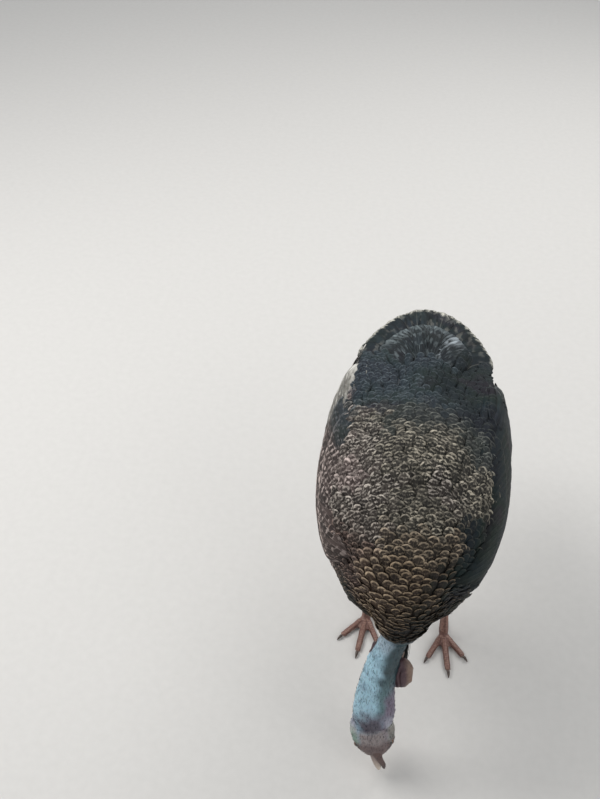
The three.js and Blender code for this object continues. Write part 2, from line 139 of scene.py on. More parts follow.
def writePlaces(mesh, places):
    mesh.vertices.foreach_set("co", places.astype(np.float32).ravel())
    mesh.update()


def keepColour(mesh, name, colours):
    layer = mesh.attributes.new(name, "FLOAT_COLOR", "POINT")
    layer.data.foreach_set("color", np.ascontiguousarray(colours, np.float32).ravel())


def keepNumber(mesh, name, values):
    layer = mesh.attributes.new(name, "FLOAT", "POINT")
    layer.data.foreach_set("value", np.ascontiguousarray(values, np.float32).ravel())


# The shader's maths.
class Wire:
    tree = None

    def __init__(self, socket):
        self.socket = socket

    @classmethod
    def node(cls, kind, settings=None, out=0, **values):
        made = cls.tree.nodes.new(kind)
        for name, value in (settings or {}).items():
            if name == "stops":
                ramp = made.color_ramp
                while len(ramp.elements) < len(value):
                    ramp.elements.new(0.5)
                for element, (place, colour) in zip(ramp.elements, value):
                    element.position = place
                    element.color = colour
            else:
                setattr(made, name, value)
        for name, value in values.items():
            key = int(name[1:]) if name[0] == "_" else name
            socket = made.inputs[key]
            if isinstance(value, Wire):
                cls.tree.links.new(value.socket, socket)
            else:
                socket.default_value = value
        return cls(made.outputs[out])

    def maths(self, operation, other=0.0, swapped=False):
        pair = (other, self) if swapped else (self, other)
        return Wire.node("ShaderNodeMath", {"operation": operation}, _0=pair[0], _1=pair[1])

    def __add__(self, other):
        return self.maths("ADD", other)

    def __radd__(self, other):
        return self.maths("ADD", other)

    def __sub__(self, other):
        return self.maths("SUBTRACT", other)

    def __rsub__(self, other):
        return self.maths("SUBTRACT", other, True)

    def __mul__(self, other):
        return self.maths("MULTIPLY", other)

    def __rmul__(self, other):
        return self.maths("MULTIPLY", other)

    def __truediv__(self, other):
        return self.maths("DIVIDE", other)

    def between(self, low, high):  # 0 below low, 1 above high, smooth between
        return Wire.node("ShaderNodeMapRange", {"interpolation_type": "SMOOTHSTEP"},
                         Value=self, _1=low, _2=high)


def attribute(name, out="Fac"):
    return Wire.node("ShaderNodeAttribute", {"attribute_name": name}, out)


def mixed(factor, a, b, how="MIX"):
    settings = {"data_type": "RGBA", "blend_type": how}
    return Wire.node("ShaderNodeMix", settings, 2, _0=factor, _6=a, _7=b)


def grain(place, scale, detail=2.0, roughness=0.5):
    return Wire.node("ShaderNodeTexNoise", {}, 0, Vector=place, Scale=scale, Detail=detail,
                     Roughness=roughness)


def joinedPlace(x, y, z):
    return Wire.node("ShaderNodeCombineXYZ", {}, 0, X=x, Y=y, Z=z)


def objectPlace():
    return Wire.node("ShaderNodeTexCoord", {}, "Object")


def stretched(place, factors):
    return Wire.node("ShaderNodeVectorMath", {"operation": "MULTIPLY"}, 0, _0=place, _1=factors)


def bumped(height, strength, distance):
    return Wire.node("ShaderNodeBump", {}, 0, Height=height, Strength=strength, Distance=distance)


def newMaterial(name, build):
    material = bpy.data.materials.new(name)
    material.use_nodes = True
    Wire.tree = material.node_tree
    Wire.tree.nodes.clear()
    shader = build()
    output = Wire.tree.nodes.new("ShaderNodeOutputMaterial")
    Wire.tree.links.new(shader.socket, output.inputs["Surface"])
    return material


# Camera, light and floor.
view = {"back": 1.285, "height": 1.70, "focal": 47.31, "down": 40.6, "turn": 8.64, "nearest": 0.05}
studio = {"floor": 14, "aim": (0, -0.05, 0.35), "sky": (0.86, 0.89, 0.93, 1), "skyStrength": 0.62}
lamps = {  # place, size and power of each soft lamp
    "key": ((-1.9, 0.5, 2.6), 1.6, 52),
    "fill": ((2.1, -1.8, 2.0), 2.0, 16),
    "rear": ((0.9, 2.3, 2.3), 1.6, 30),
}


def floorPaint():
    speckle = grain(objectPlace(), 60.0, 4.0)
    tone = mixed(speckle, shade(206, 203, 198), shade(214, 211, 206))
    return Wire.node("ShaderNodeBsdfPrincipled", {}, 0, **{"Base Color": tone, "Roughness": 0.8})


def setStage():
    toes = [middleOf(name).y for name in nodes if name.startswith("toe_")]
    camera = bpy.data.objects.new("camera", bpy.data.cameras.new("camera"))
    bpy.context.scene.collection.objects.link(camera)
    camera.data.lens = view["focal"]
    camera.location = (0, sum(toes) / len(toes) - view["back"], view["height"])
    camera.rotation_euler = (math.radians(90 - view["down"]), 0, math.radians(view["turn"]))
    camera.data.clip_start = view["nearest"]
    bpy.context.scene.camera = camera
    bpy.ops.mesh.primitive_plane_add(size=studio["floor"])
    floor = bpy.context.object
    floor.name = "floor"
    floor.data.materials.append(newMaterial("floor_paint", floorPaint))
    for name, (place, size, power) in lamps.items():
        lamp = bpy.data.objects.new(name, bpy.data.lights.new(name, "AREA"))
        lamp.data.size = size
        lamp.data.energy = power
        lamp.location = place
        lamp.rotation_mode = "QUATERNION"
        lamp.rotation_quaternion = (Vector(studio["aim"]) - Vector(place)).to_track_quat("-Z", "Y")
        bpy.context.scene.collection.objects.link(lamp)
    world = bpy.data.worlds.new("studio")
    bpy.context.scene.world = world
    world.use_nodes = True
    sky = world.node_tree.nodes["Background"]
    sky.inputs["Color"].default_value = studio["sky"]
    sky.inputs["Strength"].default_value = studio["skyStrength"]
    bpy.context.scene.view_settings.view_transform = "Standard"


setStage()
print("stage set")

# Where things are on the bird.
headPose = {"pitch": 66, "lean": -11, "yaw": 6, "eyeBack": -0.010, "eyeUp": 0.006}


def headMatrix():  # the head's own frame: it faces -Y there, with its crown up
    turn = (Matrix.Rotation(math.radians(headPose["lean"]), 4, "Y")
            @ Matrix.Rotation(math.radians(headPose["yaw"]), 4, "Z")
            @ Matrix.Rotation(math.radians(headPose["pitch"]), 4, "X"))
    eyes = (middleOf("eye_left") + middleOf("eye_right")) / 2
    origin = eyes - turn.to_3x3() @ Vector((0, headPose["eyeBack"], headPose["eyeUp"]))
    return Matrix.Translation(origin) @ turn


headPlace = headMatrix()
headTurn = np.array(headPlace.to_3x3())
headOrigin = np.array(headPlace.translation)


def inHead(points):
    return (points - headOrigin) @ headTurn


def outOfHead(points):
    return points @ headTurn.T + headOrigin


bareNodes = ["head", "dewlap", "snood", "neck_upper", "caruncle_left", "caruncle_front",
             "caruncle_right"]
legNodes = [name for name in nodes if name.startswith(("shank_", "toe_"))]
featheredNodes = ["neck_lower", "trunk", "undertail_coverts", "thigh_left", "thigh_right"]
wingNodes = [f"wing_{side}_{part}" for side in sides for part in ("shoulder", "secondaries")]
fleshNodes = bareNodes + legNodes + featheredNodes + wingNodes
guidePlaces, guideCorners, guideOwners = joinedNodes(fleshNodes)
guideTree = treeOf(guidePlaces, guideCorners)


def ownersOf(points):  # the CAD node that each point lies nearest to
    return np.array([guideOwners[guideTree.find_nearest(Vector(p))[2]] for p in points])


# How deep the skin lies under the outline, in each named part. The coat is thinner where it begins.
coatDepth = {"neck_lower": 0.008, "trunk": 0.009, "wing": 0.008, "thigh": 0.006,
             "undertail_coverts": 0.007, "bare": 0.0006, "leg": 0.0008}
thinCoat = {"neck_lower": 0.0035, "thigh": 0.0012, "start": 0.01, "aboveHock": 0.08}
bareTop, coatFull = 0.316, 0.40  # heights between which the neck's coat grows to full depth
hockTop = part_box("shank_left")[1].z
collarForm = {"back": 0.018, "squeeze": 2.2, "radius": 0.05}  # behind the neck it is narrower


def aboveCollar(points, owners, reach):  # the strip over which the coat thins out into bare skin
    behind = points[:, 1] - middleOf("neck_upper").y - collarForm["back"]
    beside = np.hypot(points[:, 0], np.where(behind > 0, behind * collarForm["squeeze"], behind))
    near = beside < collarForm["radius"]
    return (owners == "neck_lower") & (points[:, 2] < bareTop + reach) & near


def onLeg(owners):
    return np.char.startswith(owners, "shank") | np.char.startswith(owners, "toe")


def depthAt(points, owners):
    depth = np.full(len(points), coatDepth["bare"])
    for key in ("trunk", "wing", "thigh", "undertail_coverts"):
        depth[np.char.startswith(owners, key)] = coatDepth[key]
    depth[onLeg(owners)] = coatDepth["leg"]
    below = thinCoat["start"]
    growth = {"neck_lower": smooth(points[:, 2], bareTop - below, coatFull),
              "thigh": smooth(points[:, 2], hockTop - below, hockTop + thinCoat["aboveHock"])}
    for key, share in growth.items():
        here = np.char.startswith(owners, key)
        depth[here] = (thinCoat[key] + (coatDepth[key] - thinCoat[key]) * share)[here]
    return depth


# The lie of the coat: directions given at a few places, the right side mirrored from the left.
lieOfCoat = [
    ((0, -0.34, 0.33), (0, 0.15, 1)), ((0.05, -0.30, 0.34), (0.1, 0.2, 1)),
    ((0, -0.33, 0.40), (0, 0.4, 1)), ((0.08, -0.28, 0.42), (0.3, 0.6, 0.8)),
    ((0, -0.27, 0.50), (0, 0.85, 0.5)), ((0, -0.10, 0.56), (0, 1, 0.05)),
    ((0.09, -0.20, 0.51), (0.3, 1, 0.1)), ((0, 0.10, 0.56), (0, 1, -0.1)),
    ((0.10, 0.02, 0.54), (0.05, 1, -0.1)), ((0.08, 0.14, 0.51), (0, 1, -0.2)),
    ((0, -0.24, 0.36), (0, 0.6, -0.8)), ((0, -0.25, 0.29), (0, 0.6, -0.8)),
    ((0, -0.19, 0.21), (0, 1, -0.25)), ((0.10, -0.25, 0.33), (0.1, 0.8, -0.6)),
    ((0.13, -0.16, 0.30), (0.05, 1, -0.4)), ((0.14, -0.05, 0.33), (0, 1, -0.25)),
    ((0, -0.05, 0.20), (0, 1, 0.1)), ((0.06, 0.06, 0.31), (0, 0.9, 0.35)),
    ((0, 0.14, 0.37), (0, 0.9, 0.4)), ((0.13, -0.24, 0.44), (0.2, 1, -0.1)),
    ((0.16, -0.05, 0.42), (0, 1, -0.1)), ((0.15, 0.10, 0.44), (-0.1, 1, 0.05)),
]
thighLie = {"way": (0, 0.12, -1), "below": 0.31}
lieBlend = 2e-4  # square metres: how softly one direction passes into the next


def lieAt(points, owners, normals):
    places = np.array([a for a, _ in lieOfCoat] + [(-a[0], a[1], a[2]) for a, _ in lieOfCoat])
    ways = np.array([d for _, d in lieOfCoat] + [(-d[0], d[1], d[2]) for _, d in lieOfCoat])
    gaps = ((points[:, None, :] - places[None]) ** 2).sum(-1)
    weight = 1 / (gaps + lieBlend) ** 2
    lie = (weight[:, :, None] * unit(ways)[None]).sum(1)
    onThigh = np.char.startswith(owners, "thigh") & (points[:, 2] < thighLie["below"])
    lie[onThigh] = thighLie["way"]
    lie = unit(lie)
    return unit(lie - normals * dot(lie, normals))


layingOrder = {"back": 0.9, "up": 0.25, "neckTop": 0.46, "neckRear": -0.26, "neckUp": 0.9}


def orderAt(points, owners):  # grows from the head to the tail, so that rows are laid in turn
    form = layingOrder
    order = points[:, 1] * form["back"] + points[:, 2] * form["up"]
    neck = smooth(form["neckTop"] - points[:, 2], 0, 0.1)  # there the rows rise from the collar
    neck = neck * smooth(form["neckRear"] - points[:, 1], -0.03, 0.03)
    order += neck * (points[:, 2] - coatFull) * form["neckUp"]
    thigh = np.char.startswith(owners, "thigh")
    order[thigh] = 1 - points[thigh, 2]
    return order


# The colours of the plumage, for the skin and the feathers alike.
plumage = {  # ground, edge, width of the edge, strength of the bars, gloss, which also sets the painted sheen
    "mantle": (shade(54, 43, 35), shade(186, 163, 134), 0.20, 0.34, 0.05),
    "saddle": (shade(56, 49, 42), shade(198, 178, 152), 0.18, 0.48, 0.05),
    "mantlePale": (shade(82, 67, 56), shade(214, 190, 160), 0.26, 0.25, 0.02),
    "mantleDark": (shade(34, 29, 25), shade(116, 100, 82), 0.17, 0.05, 0.25),
    "mantleRed": (shade(60, 48, 43), shade(176, 150, 138), 0.17, 0.50, 0.02),
    "back": (shade(55, 52, 46), shade(200, 190, 170), 0.17, 0.75, 0.05),
    "backPale": (shade(64, 58, 53), shade(216, 205, 192), 0.19, 0.85, 0.02),
    "loin": (shade(44, 46, 44), shade(118, 120, 114), 0.12, 0.55, 0.18),
    "rump": (shade(34, 41, 46), shade(92, 102, 108), 0.12, 0.45, 0.40),
    "rumpDark": (shade(15, 19, 22), shade(46, 54, 58), 0.08, 0.20, 0.32),
    # the wings' plumages: pale pink on the bird's right, which lay in the light, and black on its left, in
    # shade; partly their own colours, partly painted light and shade
    "wingPink": (shade(80, 69, 65), shade(230, 211, 202), 0.24, 0.70, 0.02),
    "wingBlack": (shade(13, 16, 16), shade(54, 60, 56), 0.10, 0.25, 0.45),
    "breast": (shade(42, 37, 34), shade(112, 98, 84), 0.14, 0.20, 0.40),
    "thigh": (shade(50, 43, 38), shade(88, 76, 64), 0.13, 0.25, 0.10),
}
markings = [  # where each kind of plumage is centred, in millimetres
    (0, -345, 340, "mantleDark"), (-45, -330, 345, "mantlePale"), (45, -325, 350, "mantleDark"),
    (-58, -312, 385, "mantlePale"), (-52, -318, 440, "mantlePale"), (-20, -340, 400, "mantle"),
    (25, -335, 430, "mantle"), (-40, -330, 410, "mantlePale"), (0, -320, 460, "mantle"),
    (-25, -302, 482, "saddle"), (30, -300, 484, "saddle"), (5, -296, 496, "saddle"),
    (-55, -275, 495, "backPale"), (0, -275, 513, "back"), (35, -262, 514, "back"),
    (-20, -262, 518, "back"), (62, -310, 435, "mantleDark"), (82, -288, 425, "wingBlack"),
    (72, -285, 472, "saddle"), (98, -262, 472, "wingBlack"), (-72, -295, 400, "mantleRed"),
    (-76, -285, 455, "mantleRed"), (-100, -250, 440, "mantleRed"), (-90, -235, 490, "backPale"),
    (0, -230, 536, "back"), (-40, -225, 530, "backPale"), (45, -220, 533, "backPale"),
    (-90, -200, 520, "wingPink"), (-70, -170, 540, "backPale"), (-30, -170, 556, "back"),
    (85, -215, 515, "back"), (15, -170, 558, "back"), (60, -180, 545, "back"), (105, -185, 512, "back"),
    (-80, -120, 545, "backPale"), (-30, -120, 563, "back"), (20, -110, 565, "back"),
    (60, -110, 555, "back"), (102, -120, 530, "loin"), (118, -130, 520, "loin"),
    (-95, -70, 541, "backPale"), (-45, -96, 553, "loin"), (0, -78, 565, "loin"), (15, -92, 566, "loin"),
    (45, -68, 557, "loin"), (75, -80, 548, "loin"), (-78, -88, 545, "back"), (90, -40, 535, "rumpDark"),
    (-110, -20, 535, "rump"), (-70, -20, 545, "rump"), (-55, -55, 556, "loin"), (-20, -70, 562, "loin"),
    (15, -50, 562, "loin"), (-85, -50, 543, "rump"), (-25, -40, 558, "rump"), (15, -22, 558, "rump"),
    (38, -40, 556, "rump"), (55, -10, 548, "rumpDark"), (-40, 0, 550, "rump"), (0, 0, 552, "rump"),
    (-100, 0, 535, "rump"), (-90, 30, 535, "rump"), (-50, 30, 540, "rump"), (-10, 30, 546, "rump"),
    (30, 30, 543, "rumpDark"), (75, 40, 525, "rumpDark"), (-40, 110, 530, "rump"),
    (45, 60, 538, "rumpDark"), (20, 100, 535, "rump"), (70, 120, 500, "rumpDark"),
    (-145, -150, 480, "wingPink"), (-140, -100, 500, "wingPink"), (-140, -30, 500, "wingPink"),
    (-135, -210, 440, "wingPink"), (-125, 50, 510, "rump"), (-128, -225, 400, "wingPink"),
    (140, -150, 480, "wingBlack"), (135, -80, 510, "wingBlack"), (130, 20, 510, "wingBlack"),
    (140, -200, 430, "wingBlack"), (118, -235, 420, "wingBlack"), (0, -270, 290, "breast"),
    (80, -270, 330, "breast"), (-80, -270, 330, "breast"), (120, -200, 300, "breast"),
    (-120, -200, 300, "breast"), (0, -190, 215, "breast"), (130, -60, 330, "breast"),
    (-130, -60, 330, "breast"), (0, 0, 220, "breast"), (100, 80, 360, "breast"),
    (-100, 80, 360, "breast"),
]


markingBlend = {  # size and reach of the wide and the fine unevenness, and the softness between
    "wide": (0.05, 0.010), "fine": (0.007, 0.008), "softness": 3e-4, "seeds": (61, 62, 63)}


def plumageAt(points, owners):
    places = np.array([m[:3] for m in markings]) * millimetre
    kinds = [m[3] for m in markings]
    (wideSize, wideReach), (fineSize, fineReach) = markingBlend["wide"], markingBlend["fine"]
    strays = np.stack([ripple(points, wideSize, k) * wideReach + ripple(points, fineSize, k + 9) * fineReach
                       for k in markingBlend["seeds"]], axis=1)
    gaps = ((points + strays)[:, None, :] - places[None]) ** 2
    near = 1 / (gaps.sum(-1) + markingBlend["softness"]) ** 3
    weights = {name: np.zeros(len(points)) for name in plumage}
    for k, kind in enumerate(kinds):
        weights[kind] += near[:, k]
    legs = np.char.startswith(owners, "thigh") | (owners == "undertail_coverts")
    for name in weights:
        weights[name] = np.where(legs, (name == "thigh") * 1.0, weights[name])
    total = sum(weights.values())[:, None]

    def blend(k):
        return sum(weights[n][:, None] * np.atleast_1d(plumage[n][k]) for n in plumage) / total

    return blend(0), blend(1), np.hstack([blend(k) for k in (2, 3, 4)])


# The skin.
skinSizes = {"voxel": 0.0022, "overlap": 0.0009, "smoothing": 8, "kept": 0.17, "settling": 2,
             "foldSmoothing": 34, "lobeSmoothing": 120, "lobeSwell": 0.0032, "creaseDepth": 0.0022,
             "bareAbove": 0.013}


def relax(mesh, share, rounds, pull=0.7):  # draws the marked places smooth
    places = readPlaces(mesh)
    edges = np.empty(len(mesh.edges) * 2, np.int32)
    mesh.edges.foreach_get("vertices", edges)
    edges = edges.reshape(-1, 2)
    edges = edges[(share[edges] > 0).any(1)]
    for _ in range(rounds):
        total, links = np.zeros_like(places), np.zeros(len(places))
        for a, b in ((0, 1), (1, 0)):
            np.add.at(total, edges[:, a], places[edges[:, b]])
            np.add.at(links, edges[:, a], 1)
        mean = total / np.maximum(links, 1)[:, None]
        places += (mean - places) * (share * (links > 2) * pull)[:, None]
    writePlaces(mesh, places)


seams = [  # the nodes on either side of each valley, how far it reaches and how much it is smoothed
    (["neck_lower", "trunk"], wingNodes, 0.020, 90), (["head"], ["neck_upper"], 0.011, 60),
    (["neck_upper"], ["neck_lower"], 0.014, 60),
]


def fillSeams(mesh):  # the valleys where the wings meet the body, and the head the neck
    for one, other, reach, rounds in seams:
        places = readPlaces(mesh)
        gaps = np.full((2, len(places)), 1.0)
        boxes = [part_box(name) for name in one]
        low = np.min([low for low, _ in boxes], axis=0) - reach
        high = np.max([high for _, high in boxes], axis=0) + reach
        near = np.flatnonzero(((places > low) & (places < high)).all(1))
        for k, names in enumerate((one, other)):
            tree = treeOf(*joinedNodes(names)[:2])
            gaps[k, near] = [tree.find_nearest(Vector(p))[3] for p in places[near]]
        relax(mesh, 1 - smooth(gaps.max(0), reach * 0.6, reach), rounds)


def skinBase():
    places, corners, _ = joinedNodes(fleshNodes, skinSizes["overlap"])
    mesh = bpy.data.meshes.new("flesh")
    mesh.from_pydata(places.tolist(), [], corners.tolist())
    source = newObject("flesh", mesh)
    remesh = source.modifiers.new("remesh", "REMESH")
    remesh.mode = "VOXEL"
    remesh.voxel_size = skinSizes["voxel"]
    settle = source.modifiers.new("smooth", "SMOOTH")
    settle.factor = 0.5
    settle.iterations = skinSizes["smoothing"]
    mesh = finished("flesh", source)
    fillSeams(mesh)
    return mesh


def sunkSkin(mesh):  # drawn in from the outline by the depth of the coat
    places, normals = readPlaces(mesh), readNormals(mesh)
    owners = ownersOf(places)
    places -= normals * depthAt(places, owners)[:, None]
    writePlaces(mesh, places)
    return places, owners


eyeLocal = inHead(np.array([middleOf("eye_left")]))[0] * 1000
faceForms = {  # millimetres in the head's frame, as eyeLocal is
    "lids": [(6.9, 1.2, 1.7), (9.0, 1.0, -0.9), (10.8, 1.1, 0.8), (12.6, 1.0, -0.4)],  # radius, width, rise
    "swellings": [((17, -14, 16), (5, 10, 4), 1.6), ((30, 17, -3), (11, 10, 11), 2.2)],  # brow and ear
    "ear": (9, -4), "lidLength": 1.18, "side": (16, 22),
    "earRim": (4.2, 1.1, 0.9), "earHole": (2.6, 2.4), "gape": (7, 20, 0.12, 1.3, 1.2), "fold": 0.35,
    "whole": 36, "end": 48,  # the relief fades out between these distances from the head's middle
}
wartForm = {"count": 130, "rise": 0.62, "onNape": 0.04, "radius": (0.0016, 0.0040), "tries": 5}


def faceRelief(local):  # how far the skin stands out, in millimetres, on the head
    form = faceForms
    x, y, z = np.abs(local[:, 0]), local[:, 1], local[:, 2]
    onSide = smooth(x, *form["side"])
    eyeGap = np.hypot((y - eyeLocal[1]) / form["lidLength"], z - eyeLocal[2])
    rings = [rise * np.exp(-((eyeGap - radius) / width) ** 2) for radius, width, rise in form["lids"]]
    relief = onSide * sum(rings)
    for at, reach, rise in form["swellings"]:
        gaps = [((value - middle) / spread) ** 2 for value, middle, spread in zip((x, y, z), at, reach)]
        relief += rise * np.exp(-sum(gaps))
    earGap = np.hypot(y - form["ear"][0], z - form["ear"][1])
    radius, width, rise = form["earRim"]
    hole, depth = form["earHole"]
    relief += onSide * (rise * np.exp(-((earGap - radius) / width) ** 2)
                        - depth * np.exp(-(earGap / hole) ** 2))
    below, ahead, slope, width, depth = form["gape"]
    gape = np.abs(z + below + (y + ahead) * slope)
    relief -= depth * np.exp(-(gape / width) ** 2) * smooth(-y, 4, 12) * smooth(x, 6, 10)
    folds = np.sin(y * 1.25 + 2.2 * np.sin(x * 0.16) + z * 0.22)
    relief += form["fold"] * folds * smooth(y, 12, 24)
    return relief


def wartRelief(places, bare):  # small fleshy warts over the neck, thickest on its throat side
    form = wartForm
    dice = np.random.default_rng(5)
    relief = np.zeros(len(places))
    chosen = dice.choice(np.flatnonzero(bare), form["tries"] * form["count"], replace=False)
    made = 0
    for index in chosen:
        centre = places[index]
        throat = smooth(np.array([centre[1] - neckLineAt(centre[2])]), -0.01, 0.02)[0]
        if dice.random() > form["onNape"] + (1 - form["onNape"]) * throat:
            continue
        radius = dice.uniform(*form["radius"])
        near = bare & (np.abs(places - centre).max(1) < 2.5 * radius)
        gap = np.linalg.norm(places[near] - centre, axis=1) / radius
        relief[near] = np.maximum(relief[near], radius * form["rise"] * np.exp(-gap ** 2 * 1.1))
        made += 1
        if made >= form["count"]:
            break
    return relief


neckLine = {"y": -0.3228, "at": 0.205, "slope": 0.16}
neckSway = {"heights": [0.126, 0.205, 0.250, 0.288, 0.322],
            "asides": [-0.028, -0.027, -0.020, -0.008, -0.001]}


def neckLineAt(height):  # where the middle of the bare neck is, front to back, at a height
    return neckLine["y"] + (height - neckLine["at"]) * neckLine["slope"]


flesh = {  # the bare skin's colours
    "nape": shade(176, 216, 231), "napeShade": shade(150, 186, 201), "tealAndShade": shade(96, 126, 131),
    "deepTealAndShade": shade(50, 72, 78), "throat": shade(150, 118, 124), "rim": shade(170, 172, 184),
    "mauve": shade(126, 116, 134), "crown": shade(86, 82, 94), "cheek": shade(176, 184, 176),
    "green": shade(128, 158, 140), "cheekLeft": shade(134, 128, 120), "brow": shade(150, 140, 138),
    "face": shade(116, 100, 98),
    "snood": shade(98, 78, 73), "snoodTip": shade(76, 58, 54), "dewlap": shade(150, 72, 76),
    # the lobes' middles are painted shade, dusky mauve, and their creases deep red darkened with painted
    # shade
    "lobe": shade(134, 110, 95), "lobeShadedMiddle": shade(78, 54, 60), "lobeCreaseRedAndShade": shade(56, 18, 30),
    "collar": shade(160, 168, 178), "leg": shade(116, 82, 72), "legPale": shade(150, 120, 106),
}


def lean(colours, target, share):
    return colours + (np.array(flesh[target]) - colours) * np.clip(share, 0, 1)[:, None]


def neckMiddle(height):  # how far to the side the neck's middle is at a height
    return np.interp(height, neckSway["heights"], neckSway["asides"])


lobes = {  # millimetres off the middle line where each lobe is creased
    "caruncle_left": (-9.5, -2.5), "caruncle_front": (-6, 3), "caruncle_right": (-1,),
}


def lobeMarks(points, owners):  # how near each point is to a lobe's rim, and the creases between folds
    rim, crease = np.zeros(len(points)), np.zeros(len(points))
    for name, lines in lobes.items():
        here = owners == name
        low, high = (np.array(corner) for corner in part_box(name))
        off = (points[here] - (low + high) / 2) / ((high - low) / 2)
        rim[here] = np.clip(np.hypot(off[:, 0] + 0.45, off[:, 2] * 0.8), 0.01, 2)
        aside = (points[here, 0] - (low + high)[0] / 2) * 1000 + 1.6 * np.sin(off[:, 2] * 4)
        for k, line in enumerate(lines):
            fade = 1 - smooth(np.abs(off[:, 2]), 0.45, 0.9)
            fold = np.exp(-((aside - line) / (1.5 - 0.3 * k)) ** 2)
            crease[here] = np.maximum(crease[here], fade * fold)
    return rim, crease


def neckTint(points):  # pale blue behind, flushed on the throat, and darker on the bird's left: there teal of its own, deepened with painted shade
    patch = ripple(points, 0.045, 11) * 0.5 + 0.5
    tint = np.tile(np.array(flesh["nape"]), (len(points), 1))
    tint = lean(tint, "napeShade", patch * 0.8)
    height = points[:, 2]
    toLeft = (points[:, 0] - neckMiddle(height)) * 1000 + 4 * ripple(points, 0.03, 12)
    throat = smooth(points[:, 1] - neckLineAt(height), 0.002, 0.024)
    tint = lean(tint, "collar", smooth(height, 0.275, 0.305) * 0.6)
    # on the bird's left the neck turns teal and, higher up, dark teal: partly its own colour, partly painted
    # shade
    tint = lean(tint, "tealAndShade", smooth(toLeft, -2, 13) * smooth(height, 0.12, 0.16))
    toLeft += 7 * smooth(height, 0.24, 0.30)  # the dark teal and its painted shade lean over the nape above
    tint = lean(tint, "deepTealAndShade", smooth(toLeft, -7, 9) * smooth(height, 0.19, 0.25))
    tint = lean(tint, "mauve", smooth(toLeft, 12, 24) * (1 - smooth(height, 0.17, 0.22)))
    return lean(tint, "throat", throat * 0.85 * smooth(height, 0.10, 0.16))


def headTint(tint, points):  # a mauve band over the crown, green cheeks and a brown face
    x, y, z = (inHead(points) * 1000).T
    wide = np.abs(x)
    stray = 3.5 * ripple(points, 0.03, 13)
    top = smooth(z, -2, 12)
    crown = top * (1 - smooth(wide + stray, 12, 33)) * smooth(y + stray, 9, 25) * (
        1 - smooth(y + 2 * stray, 38, 80))
    for name, share in (
            ("rim", (1 - smooth(y, 30, 62)) * smooth(wide, 20, 31)),
            ("cheek", smooth(wide + stray, 22, 31) * (1 - smooth(y, 20, 34))),
            ("green", smooth(-x + stray, 16, 28) * (1 - smooth(y, 8, 20)) * 0.8),
            ("cheekLeft", smooth(x + stray, 18, 28) * (1 - smooth(y, 16, 30)) * 0.8),
            ("mauve", crown * (0.45 + 0.55 * smooth(x, -8, 8))),
            ("crown", crown ** 1.4),
            ("brow", top * smooth(-y - 0.5 * stray, -26, -12) * (1 - smooth(wide, 18, 30))),
            ("face", smooth(-y + 0.5 * stray, -2, 12))):
        tint = lean(tint, name, share)
    return tint


def fleshAt(points, owners):
    tint = headTint(neckTint(points), points)
    snood = (owners == "snood") * 1.0
    tint = lean(tint, "snood", snood)
    tint = lean(tint, "snoodTip", snood * smooth(-inHead(points)[:, 1] * 1000, 40, 66))
    tint = lean(tint, "dewlap", (owners == "dewlap") * 1.0)
    lobe, crease = lobeMarks(points, owners)
    tint = lean(tint, "lobe", (lobe > 0) * 1.0)
    # painted shade fills each lobe's middle; the creases are deep red, deepened with painted shade
    tint = lean(tint, "lobeShadedMiddle", (lobe > 0) * (1 - smooth(lobe, 0.75, 1.12)))
    tint = lean(tint, "lobeCreaseRedAndShade", crease)
    leg = onLeg(owners)
    tint = lean(tint, "leg", leg * 1.0)
    return lean(tint, "legPale", leg * smooth(ripple(points, 0.02, 8), 0.1, 0.8) * 0.7)


def skinPaint():
    place = objectPlace()
    tint = attribute("tint", "Color")
    bare = attribute("bare")
    blotch = grain(place, 90.0, 4.0, 0.6)
    deeper = mixed(1.0, tint, (0.50, 0.47, 0.52, 1), "MULTIPLY")
    colour = mixed(blotch.between(0.45, 0.75) * 0.55, tint, deeper)
    streak = grain(stretched(place, (1, 1, 0.14)), 520.0, 3.0, 0.6)  # runs down the neck
    colour = mixed(streak.between(0.52, 0.72) * 0.75 * bare, colour, deeper)
    veins = Wire.node("ShaderNodeTexVoronoi", {"feature": "DISTANCE_TO_EDGE"}, "Distance",
                      Vector=place, Scale=420.0)
    pores = veins.between(0.0, 0.16)
    colour = mixed((1 - pores) * (0.08 + blotch * 0.34) * bare, colour, deeper)
    fine = grain(place, 900.0, 3.0)
    wrinkle = grain(place, 260.0, 5.0, 0.65)
    height = pores * 0.5 * bare + fine * 0.25 + wrinkle * 0.8
    roughness = 0.62 - 0.16 * bare + blotch * 0.12
    return Wire.node("ShaderNodeBsdfPrincipled", {}, 0, **{
        "Base Color": colour, "Roughness": roughness, "Normal": bumped(height, 0.55, 0.0012),
        "Subsurface Weight": 0.08, "Subsurface Radius": (0.006, 0.0025, 0.0015),
        "Subsurface Scale": 0.6})


skinMaterial = newMaterial("skin_paint", skinPaint)
skinMesh = skinBase()
skinPlaces, skinOwners = sunkSkin(skinMesh)
skinNormals = readNormals(skinMesh)
skinObject = newObject("skin", skinMesh)
graph = bpy.context.evaluated_depsgraph_get()
skinTree = BVHTree.FromObject(skinObject, graph)
print("skin laid:", len(skinPlaces))

# Feathers: each is a thin closed vane, laid along a path of stations.
bodyVane = {"stations": [0, 0.18, 0.40, 0.60, 0.77, 0.89, 0.965, 1],
            "across": [-1, -0.5, 0, 0.5, 1, 0], "under": [0, 0, 0, 0, 0, 1]}
quillVane = {"stations": [0, 0.05, 0.14, 0.26, 0.38, 0.50, 0.62, 0.73, 0.82, 0.89, 0.94, 0.98, 1],
             "across": [-1, -0.55, -0.07, 0, 0.07, 0.55, 1, 0],
             "under": [0, 0, 0, 0, 0, 0, 0, 1]}


